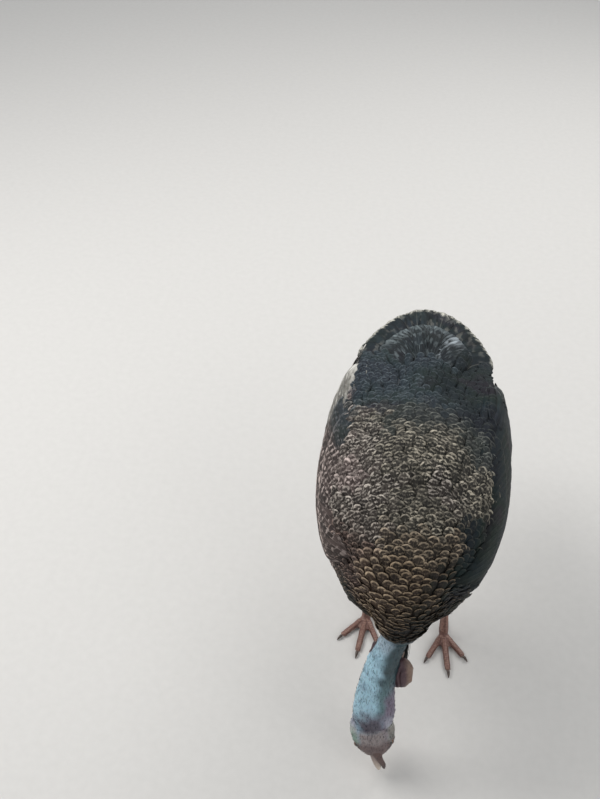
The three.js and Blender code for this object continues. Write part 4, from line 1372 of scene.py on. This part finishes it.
def layDown(points, kept):  # soft down that closes the sheet under the rump's feathers
    form = downForm
    kept = kept & (points[:, :, 1] > form["front"]) & (points[:, :, 1] < form["rear"])
    for _ in range(form["margin"]):
        kept = cellsRound(kept).all(0)
    quads = kept[:-1, :-1] & kept[1:, :-1] & kept[1:, 1:] & kept[:-1, 1:]
    count = points.shape[1]
    first = (np.arange(points.shape[0])[:, None] * count + np.arange(count)[None, :])[:-1, :-1][quads]
    corners = np.stack([first, first + count, first + count + 1, first + 1], axis=1)
    used, corners = np.unique(corners, return_inverse=True)
    places = points.reshape(-1, 3)[used] - [0, 0, form["sink"]]
    mesh = bpy.data.meshes.new("rump_down")
    mesh.from_pydata(places.tolist(), [], corners.reshape(-1, 4).tolist())
    source = newObject("rump_down", mesh)
    shell = source.modifiers.new("shell", "SOLIDIFY")
    shell.thickness, shell.offset = form["thick"], -1
    mesh = finished("rump_down", source)
    keepColour(mesh, "tint", plumageAt(readPlaces(mesh), np.full(len(mesh.vertices), "trunk"))[0])
    keepNumber(mesh, "bare", np.zeros(len(mesh.vertices)))
    mesh.shade_smooth()
    down = newObject("rump_down", mesh, skinMaterial)
    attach(down, "root")


def topSheet():  # the upper face of body, wings and tail as one smooth sheet, its crevices closed
    form = sheetForm
    names = [name for name in nodes if name.startswith(("wing_", "tail_"))] + ["trunk", "neck_lower"]
    places, corners, owners = joinedNodes(names)
    tree = treeOf(places, corners)
    xs = np.arange(-form["side"], form["side"], form["step"])
    ys = np.arange(form["front"], form["rear"], form["step"])
    heights = np.full((len(xs), len(ys)), form["ground"])
    owner = np.full((len(xs), len(ys)), "none", dtype="U24")
    for i, x in enumerate(xs):
        for j, y in enumerate(ys):
            place, _, index, _ = tree.ray_cast(Vector((x, y, 1)), Vector((0, 0, -1)))
            if place is not None:
                heights[i, j] = place.z
                owner[i, j] = owners[index]
    for _ in range(form["closing"]):
        heights = cellsRound(heights).max(0)
    for _ in range(form["closing"]):
        heights = cellsRound(heights).min(0)
    for _ in range(2):
        heights = cellsRound(heights).mean(0)
    points = np.stack([*np.meshgrid(xs, ys, indexing="ij"), heights], axis=2)
    rows = len(ys)
    firsts = [i * rows + j for i in range(len(xs) - 1) for j in range(rows - 1)]
    squares = [(k, k + rows, k + rows + 1, k + 1) for k in firsts]
    onWing, onBody = np.char.startswith(owner, "wing"), np.isin(owner, ["trunk", "neck_lower"])
    for _ in range(form["seam"]):
        onWing, onBody = cellsRound(onWing).any(0), cellsRound(onBody).any(0)
    return treeOf(points.reshape(-1, 3), squares), points, owner, onWing & onBody


def layRump():  # rows of feathers from the rump over the wings' inner edges and out over the fan
    form = rumpForm
    tree, grid, owners, seam = topSheet()
    points, owners, seam = grid.reshape(-1, 3), owners.ravel(), seam.ravel()
    reach = np.hypot(points[:, 0], points[:, 1] - covertLow.y)
    rear = np.where(points[:, 0] > 0, form["wingRear"]["left"], form["wingRear"]["right"])
    aside, y = np.abs(points[:, 0]), points[:, 1]
    isWing = np.char.startswith(owners, "wing")
    onWing = isWing & (wingAngle(points) > form["wingLow"]) & (y < rear) & (y > form["wingFront"])
    inner, outer = form["between"]
    seamFront, seamRear = form["seam"]
    between = (aside < outer) & (aside > inner) & (y < rear) & (y > seamRear)
    here = ~isWing & (reach < form["reach"]) | between | onWing
    here |= (owners == "trunk") & (y > form["front"])
    here |= seam & (y > seamFront) & (y < seamRear)
    here &= (aside < form["half"]) | (y < form["halfUntil"])
    here &= owners != "none"
    layDown(grid, here.reshape(grid.shape[:2]))
    points, owners = points[here], owners[here]
    dice = np.random.default_rng(17)
    stray = dice.uniform(-form["scatter"], form["scatter"], points.shape)
    points = points + stray * [sheetForm["step"], sheetForm["step"], 0]
    found = [tree.find_nearest(Vector(p)) for p in points]
    points, normals = np.array([f[0] for f in found]), np.array([f[1] for f in found])
    back = smooth(points[:, 1], *form["grown"])
    turn = 0.22 - 0.19 * back
    lie = np.stack([points[:, 0], points[:, 1] - covertLow.y + turn, 0 * turn], axis=1)
    lie[:, 0] *= np.where(np.char.startswith(owners, "wing"), -0.2, 1)
    lie[:, 1] = np.maximum(lie[:, 1], 0.02)
    ahead = smooth(-points[:, 1], -0.01, 0.05)[:, None]
    lie = unit(lie) * (1 - ahead) + lieAt(points, np.full(len(points), "trunk"), normals) * ahead
    lie = unit(lie - normals * dot(lie, normals))
    row, gap = (np.array(form[k][0] + (form[k][1] - form[k][0]) * back) for k in ("row", "gap"))
    chosen = rowsOfRoots(points, lie, normals, points[:, 1] - 0.3 * np.abs(points[:, 0]), row, gap)
    points, normals, lie, row, gap = (a[chosen] for a in (points, normals, lie, row, gap))
    n = len(points)
    length = row * form["long"] * dice.uniform(*form["length"], n)
    way = unit(lie + np.cross(lie, normals) * dice.normal(0, form["sway"], (n, 1)))
    path = pathsOverSkin(points, way, length, bodyVane["stations"], np.full(n, -form["sink"]),
                         dice.uniform(*form["tip"], n), tree)
    colours = plumageAt(points, np.full(n, "trunk"))
    piece = makeVanes("rump_feathers", bodyVane, bodyOutline, path,
                      gap * form["wide"] * dice.uniform(*form["width"], n), colours, plumeMaterial,
                      bakePatches(points, row, gap, lambda p: p[:, :2]), roll=dice.normal(0, 0.06, n),
                      arch=0.14, ragged=0.1, shaft=0.0004, seed=77)
    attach(piece, "root")


def layTail():
    quillTree = treeOf(*joinedNodes(["tail_feathers"])[:2])
    covertTree = treeOf(*joinedNodes(["tail_coverts", "trunk", "tail_feathers"])[:2])
    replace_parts(layFan("tail_quills", quillTree), "tail_feathers")
    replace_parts(layFan("tail_long_coverts", covertTree), "tail_coverts")
    layRump()


layTail()
print("tail laid")


# Bill, eyes, claws and spurs.
def loft(stations, rings, around):  # a closed smooth form along a line of stations
    table = np.array(stations, float)
    steps = np.linspace(0, len(table) - 1, rings)
    i = np.clip(steps.astype(int), 0, len(table) - 2)
    f = (steps - i)[:, None]
    p0, p1, p2, p3 = (table[np.clip(i + k, 0, len(table) - 1)] for k in (-1, 0, 1, 2))
    bend = 2 * p0 - 5 * p1 + 4 * p2 - p3 + f * (3 * (p1 - p2) + p3 - p0)
    rows = p1 + 0.5 * f * (p2 - p0 + f * bend)
    centre, sizes = rows[:, :3], rows[:, 3:]
    forward = unit(np.gradient(centre, axis=0))
    across = unit(np.array([1.0, 0, 0]) - forward * forward[:, :1])
    up = np.cross(forward, across)
    up *= np.sign(up[:, 2:3] + 1e-9)
    angle = np.linspace(0, 2 * math.pi, around, endpoint=False)
    a, b = billSection(sizes[:, None, :], angle[None, :])
    rims = centre[:, None] + across[:, None] * a[..., None] + up[:, None] * b[..., None]
    places = np.concatenate([centre[:1], rims.reshape(-1, 3), centre[-1:]])
    along = np.concatenate([[0], np.repeat(np.linspace(0, 1, rings), around), [1]])
    return places, vaneFaces(rings, around), along


def billSection(sizes, angle):  # a ridged top, and edges that are nearly flat below
    wide, above, below = sizes[..., 0], sizes[..., 1], sizes[..., 2]
    rise, side = np.sin(angle), np.cos(angle)
    keel = np.abs(rise) ** np.where(rise > 0, 1.25, 0.7)
    height = np.sign(rise) * keel * np.where(rise > 0, above, below)
    return wide * np.sign(side) * np.abs(side) ** 0.85, height


billForms = {  # stations in the head's frame, millimetres: place, half width, above, below
    "bill_upper": [(0, -27, 3, 10.2, 9.2, 3), (0, -33, 3, 11.0, 9.0, 3), (0, -43, 3, 9.6, 8.0, 3),
                   (0, -55, 1.5, 7.2, 6.2, 3), (0, -65, -1.5, 4.4, 4.2, 3), (0, -70, -4.4, 2.2, 2.4, 2.4),
                   (0, -72.4, -6.9, 0.6, 0.9, 1.2)],
    "bill_lower": [(0, -26, -5, 9.4, 3.4, 4.8), (0, -32, -4.9, 9.5, 3.4, 5), (0, -41, -4.6, 8.8, 2.6, 4.6),
                   (0, -52, -4.4, 6.8, 2.0, 3.8), (0, -61, -4.6, 3.9, 1.4, 2.2),
                   (0, -65.5, -5, 1.4, 0.6, 0.8)],
}
nostril = {"at": [7.0, -38.5, 7.4], "reach": [1.6, 2.8, 1.3], "depth": 1.5}


def meshPiece(name, places, faces, material):
    mesh = bpy.data.meshes.new(name)
    mesh.from_pydata([tuple(p) for p in places], [], faces)
    work = bmesh.new()
    work.from_mesh(mesh)
    bmesh.ops.recalc_face_normals(work, faces=work.faces)
    work.to_mesh(mesh)
    work.free()
    mesh.shade_smooth()
    return newObject(name, mesh, material)


def hornPaint():
    along = attribute("along")
    place = objectPlace()
    streak = grain(place, 260.0, 4.0, 0.6)
    colour = mixed(along.between(0.05, 0.75), shade(126, 104, 104), shade(206, 192, 176))
    colour = mixed(streak.between(0.4, 0.8) * 0.4, colour, shade(104, 84, 78))
    height = streak * 0.5 + grain(place, 1400.0, 2.0) * 0.3
    return Wire.node("ShaderNodeBsdfPrincipled", {}, 0, **{
        "Base Color": colour, "Roughness": 0.34 + streak * 0.2, "Normal": bumped(height, 0.25, 0.0006)})


def clawPaint():
    place = objectPlace()
    streak = grain(place, 320.0, 4.0, 0.6)
    colour = mixed(streak.between(0.35, 0.7), shade(44, 36, 32), shade(96, 80, 70))
    return Wire.node("ShaderNodeBsdfPrincipled", {}, 0, **{
        "Base Color": colour, "Roughness": 0.3 + streak * 0.25, "Normal": bumped(streak, 0.3, 0.0005)})


def eyePaint():
    gaze = attribute("gaze")  # how far from the middle of the pupil
    fleck = grain(objectPlace(), 900.0, 3.0)
    iris = mixed(fleck.between(0.35, 0.7), shade(70, 42, 24), shade(118, 76, 44))
    colour = mixed(gaze.between(0.42, 0.50), shade(6, 5, 5), iris)
    colour = mixed(gaze.between(0.95, 1.1), colour, shade(24, 16, 14))
    return Wire.node("ShaderNodeBsdfPrincipled", {}, 0, **{
        "Base Color": colour, "Roughness": 0.08 + fleck * 0.02, "Coat Weight": 1.0, "Coat Roughness": 0.02})


hornMaterial = newMaterial("bill_horn", hornPaint)
clawMaterial = newMaterial("claw_horn", clawPaint)
eyeMaterial = newMaterial("eye_gloss", eyePaint)


def makeBill():
    for name, stations in billForms.items():
        places, faces, along = loft(stations, 40, 28)
        if name == "bill_upper":
            folded = np.column_stack([np.abs(places[:, 0]), places[:, 1:]])
            gap = np.linalg.norm((folded - nostril["at"]) / nostril["reach"], axis=1)
            places[:, 0] -= np.sign(places[:, 0]) * nostril["depth"] * np.exp(-gap ** 2)
        piece = meshPiece(name + "_horn", outOfHead(places * millimetre), faces, hornMaterial)
        keepNumber(piece.data, "along", along)
        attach(piece, "root")
        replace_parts(piece, name)


eyeForm = {"segments": 32, "rings": 20, "cornea": 0.05, "corneaWidth": 0.6}


def makeEyes():
    for side, sign in sides.items():
        low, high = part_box(f"eye_{side}")
        radius = max(high - low) / 2
        ball = bmesh.new()
        bmesh.ops.create_uvsphere(ball, u_segments=eyeForm["segments"],
                                  v_segments=eyeForm["rings"], radius=1)
        places = np.array([v.co for v in ball.verts])
        faces = [[v.index for v in f.verts] for f in ball.faces]
        ball.free()
        places = places[:, [2, 0, 1]]  # its poles to the sides
        gaze = np.arccos(np.clip(places[:, 0] * sign, -1, 1))
        bulge = eyeForm["cornea"] * np.exp(-(gaze / eyeForm["corneaWidth"]) ** 2)
        places *= radius * (1 + bulge)[:, None]
        centre = np.array((low + high) / 2)
        piece = meshPiece(f"eyeball_{side}", places @ headTurn.T + centre, faces, eyeMaterial)
        keepNumber(piece.data, "gaze", gaze)
        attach(piece, "root")
        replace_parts(piece, f"eye_{side}")


def makeClaw(name):  # a claw or a spur, rounded
    places, corners = nodeMesh(name)
    source = meshPiece(name + "_horn", places, corners.tolist(), clawMaterial)
    source.modifiers.new("rounding", "SUBSURF").levels = 2
    piece = newObject(name + "_horn", finished(name + "_horn", source))
    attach(piece, "root")
    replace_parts(piece, name)


makeBill()
makeEyes()
for name in nodes:
    if name.startswith(("claw_", "spur_")):
        makeClaw(name)
print("bill, eyes and claws made")


# The beard: a hank of coarse bristles.
beardForm = {"bristles": 230, "width": 0.0010, "spread": 0.0055, "levels": 7, "shortest": 0.62,
             "opening": (0.75, 0.75), "sway": 0.002}


def beardLine():  # the middle of the hank, from its top to its tip
    low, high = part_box("beard")
    places, _ = nodeMesh("beard")
    heights = np.linspace(high.z, low.z, beardForm["levels"])
    line = []
    for top, bottom in zip(heights, heights[1:]):
        near = places[(places[:, 2] <= top + 1e-6) & (places[:, 2] >= bottom - 1e-6)]
        line.append(near.mean(0) if len(near) else line[-1])
    return np.array([[line[0][0], line[0][1], high.z]] + line[1:] + [[line[-1][0], line[-1][1], low.z]])


def makeBeard():
    line = beardLine()
    count = beardForm["bristles"]
    dice = np.random.default_rng(41)
    s = np.array(bodyVane["stations"])
    turn = dice.uniform(0, 2 * math.pi, count)
    out = np.sqrt(dice.random(count)) * beardForm["spread"]
    length = dice.uniform(beardForm["shortest"], 1.0, count)
    t = s[None, :] * length[:, None] * (len(line) - 1)
    middle = np.stack([np.interp(t, np.arange(len(line)), line[:, k]) for k in range(3)], axis=-1)
    atTop, more = beardForm["opening"]
    opening = atTop + more * s[None, :]
    sway = dice.normal(0, beardForm["sway"], (count, 1)) * np.sin(s[None, :] * 3.4)
    middle[:, :, 0] += out[:, None] * np.cos(turn)[:, None] * opening + sway
    middle[:, :, 1] += out[:, None] * np.sin(turn)[:, None] * opening + sway[:, ::-1]
    outward = np.stack([np.cos(turn), np.sin(turn), 0 * turn], axis=-1)[:, None, :] + 0 * middle
    colours = paired((shade(20, 18, 17), shade(44, 38, 34), 0.05, 0.0, 0.2), count)
    place = 0.05 + 0.9 * dice.random((count, 2))
    piece = makeVanes("beard_bristles", bodyVane, bodyOutline, pathFrame(middle, unit(outward)),
                      np.full(count, beardForm["width"]), colours, plumeMaterial,
                      (place, np.full((count, 2), 0.003)), thick=0.0007, arch=0.3, seed=42)
    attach(piece, "root")
    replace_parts(piece, "beard")


makeBeard()
print("beard made")


# Scutes on the shanks and toes.
scuteForm = {"row": 0.0062, "length": 0.0095, "width": 0.0088, "aside": 0.0036, "stagger": 0.0031,
             "top": 0.006, "bottom": 0.016}
toeScutes = {"row": 0.0046, "length": 0.0074, "width": 0.0105, "hindWidth": 0.0085, "from": 0.012,
             "to": 0.006, "highest": 0.03}
legTurn = {"left": 9, "right": -6}  # how far each leg is turned, in degrees


def scuteOutline(s):
    return np.sqrt(np.clip(1 - np.clip(np.abs(s - 0.45) / 0.57, 0, 1) ** 4, 0, 1))


def scutePaint():
    along = attribute("along")
    ground, edge = attribute("ground", "Color"), attribute("edge", "Color")
    place = objectPlace()
    blotch = grain(place, 300.0, 4.0, 0.6)
    colour = mixed(blotch.between(0.35, 0.7), ground, edge)
    colour = mixed(along.between(0.7, 1.0) * 0.5, colour, edge)
    height = blotch * 0.5 + grain(place, 1500.0, 2.0) * 0.3
    return Wire.node("ShaderNodeBsdfPrincipled", {}, 0, **{
        "Base Color": colour, "Roughness": 0.42 + blotch * 0.2, "Normal": bumped(height, 0.3, 0.0006)})


scuteMaterial = newMaterial("leg_scale", scutePaint)


def shankScutes(side, places, low, high):  # two columns in front and two behind
    form, found = scuteForm, []
    turn = math.radians(legTurn[side])
    right = Vector((math.cos(turn), math.sin(turn), 0))
    ahead = Vector((math.sin(turn), -math.cos(turn), 0))
    height = high.z - form["top"]
    while height > low.z + form["bottom"]:
        ring = places[np.abs(places[:, 2] - height) < 0.03]
        weight = 1 / (np.abs(ring[:, 2] - height) + 0.002)
        centre = Vector((ring * weight[:, None]).sum(0) / weight.sum())
        for front in (1, -1):
            for column in (-1, 1):
                start = centre + right * column * form["aside"] + ahead * front * 0.05
                start.z = height - (form["stagger"] if column > 0 else 0)
                hit = skinTree.ray_cast(start, -ahead * front)[0]
                if hit is not None and (hit - start).length < 0.06:
                    found.append((hit, (0, 0, -1), form["width"], form["length"]))
        height -= form["row"]
    return found


def toesScutes(side, base):  # one row along the top of every toe
    form, found = toeScutes, []
    for toe in ("inner", "middle", "outer", "hind"):
        end = middleOf(f"claw_{side}_{toe}")
        way = Vector((end.x - base[0], end.y - base[1], 0))
        long = way.length
        way.normalize()
        step = form["from"]
        while step < long - form["to"]:
            start = Vector((base[0], base[1], 0.06)) + way * step
            hit = skinTree.ray_cast(start, Vector((0, 0, -1)))[0]
            if hit is not None and hit.z < form["highest"]:
                width = form["hindWidth"] if toe == "hind" else form["width"]
                found.append((hit, tuple(way), width, form["length"]))
            step += form["row"]
    return found


def makeScutes(side):
    low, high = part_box(f"shank_{side}")
    places, _ = nodeMesh(f"shank_{side}")
    base = places[places[:, 2] < low.z + 0.012].mean(0)
    found = shankScutes(side, places, low, high) + toesScutes(side, base)
    roots, lies, widths, lengths = (np.array(values, float) for values in zip(*found))
    count = len(roots)
    path = pathsOverSkin(roots, lies, lengths, bodyVane["stations"], np.full(count, -0.0004),
                         np.full(count, 0.0007))
    colours = paired((shade(112, 76, 66), shade(154, 122, 108), 0.2, 0.0, 0.0), count)
    piece = makeVanes(f"scutes_{side}", bodyVane, scuteOutline, path, widths, colours, scuteMaterial,
                      (spreadOut(unrolled(roots)), np.full((count, 2), 0.004)),
                      thick=0.0009, arch=0.26, ragged=0.03, seed=90)
    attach(piece, "root")


for side in sides:
    makeScutes(side)
print("scutes made")


# The skin is thinned where feathers hide it, and the bare part is made fine and detailed.
def thinnedSkin():
    covered = ~np.isin(skinOwners, bareNodes + legNodes)
    group = skinObject.vertex_groups.new(name="covered")
    group.add(np.flatnonzero(covered).tolist(), 1.0, "REPLACE")
    thin = skinObject.modifiers.new("thin", "DECIMATE")
    thin.ratio = skinSizes["kept"]
    thin.vertex_group = "covered"
    return finished("skin", skinObject)


def refineBare(mesh):
    bare = np.isin(ownersOf(readPlaces(mesh)), bareNodes)
    work = bmesh.new()
    work.from_mesh(mesh)
    edges = [e for e in work.edges if bare[e.verts[0].index] and bare[e.verts[1].index]]
    split = bmesh.ops.subdivide_edges(work, edges=edges, cuts=1, use_grid_fill=True)
    fresh = list({v for v in split["geom"] if isinstance(v, bmesh.types.BMVert)})
    for _ in range(skinSizes["settling"]):
        bmesh.ops.smooth_vert(work, verts=fresh, factor=0.5, use_axis_x=True, use_axis_y=True,
                              use_axis_z=True)
    work.to_mesh(mesh)
    work.free()


def finishSkin():
    mesh = thinnedSkin()
    refineBare(mesh)
    owners = ownersOf(readPlaces(mesh))
    relax(mesh, np.isin(owners, ["snood", "dewlap"]) * 1.0, skinSizes["foldSmoothing"])
    relax(mesh, np.isin(owners, list(lobes)) * 1.0, skinSizes["lobeSmoothing"])
    places, normals = readPlaces(mesh), readNormals(mesh)
    bare = np.isin(owners, bareNodes) | aboveCollar(places, owners, skinSizes["bareAbove"])
    leg = np.isin(owners, legNodes)
    local = inHead(places) * 1000
    fromMiddle = np.linalg.norm(local, axis=1)
    onHead = bare & (fromMiddle < faceForms["end"]) & (owners != "snood")
    fade = 1 - smooth(fromMiddle, faceForms["whole"], faceForms["end"])
    relief = np.where(onHead, faceRelief(local) * fade, 0) * millimetre
    relief += wartRelief(places, bare & ~onHead)
    relief += np.isin(owners, list(lobes)) * skinSizes["lobeSwell"]
    relief -= skinSizes["creaseDepth"] * lobeMarks(places, owners)[1]
    tint = np.where((bare | leg)[:, None], fleshAt(places, owners), plumageAt(places, owners)[0])
    writePlaces(mesh, places + normals * relief[:, None])
    keepColour(mesh, "tint", tint)
    keepNumber(mesh, "bare", (bare | leg) * 1.0)
    mesh.materials.append(skinMaterial)
    mesh.shade_smooth()
    skin = newObject("skin", mesh)
    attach(skin, "root")
    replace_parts(skin, *fleshNodes)
    print("skin finished:", len(mesh.polygons), "faces")


finishSkin()

# Fine bristles on the bare neck and crown.
bristleVane = {"stations": [0, 0.5, 0.8, 1], "across": [-1, 1, 0], "under": [0, 0, 1]}
bristleForm = {"count": 1100, "length": (0.0045, 0.0095), "width": 0.00055, "rise": 0.0022}


def bristleOutline(s):
    return 1 - 0.6 * np.asarray(s)


def layBristles():
    dice = np.random.default_rng(47)
    bare = np.isin(skinOwners, ["neck_upper", "head"]) & (skinNormals[:, 1] < 0.35)
    index = dice.choice(np.flatnonzero(bare), bristleForm["count"], replace=False)
    roots, normals = skinPlaces[index], skinNormals[index]
    lie = np.tile([0.0, 0.25, 1.0], (len(index), 1)) + dice.normal(0, 0.16, (len(index), 3))
    lie = unit(lie - normals * dot(lie, normals))
    count = len(index)
    length = dice.uniform(*bristleForm["length"], count)
    path = pathsOverSkin(roots, lie, length, bristleVane["stations"], np.full(count, -0.0002),
                         bristleForm["rise"] * dice.uniform(0.2, 1, count))
    colours = paired((shade(42, 42, 48), shade(60, 58, 62), 0.1, 0.0, 0.0), count)
    piece = makeVanes("neck_bristles", bristleVane, bristleOutline, path,
                      np.full(count, bristleForm["width"]), colours, plumeMaterial,
                      (spreadOut(unrolled(roots)), np.full((count, 2), 0.003)),
                      thick=0.0004, arch=0.0, ragged=0.0, seed=48)
    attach(piece, "root")


layBristles()
print("bristles laid")
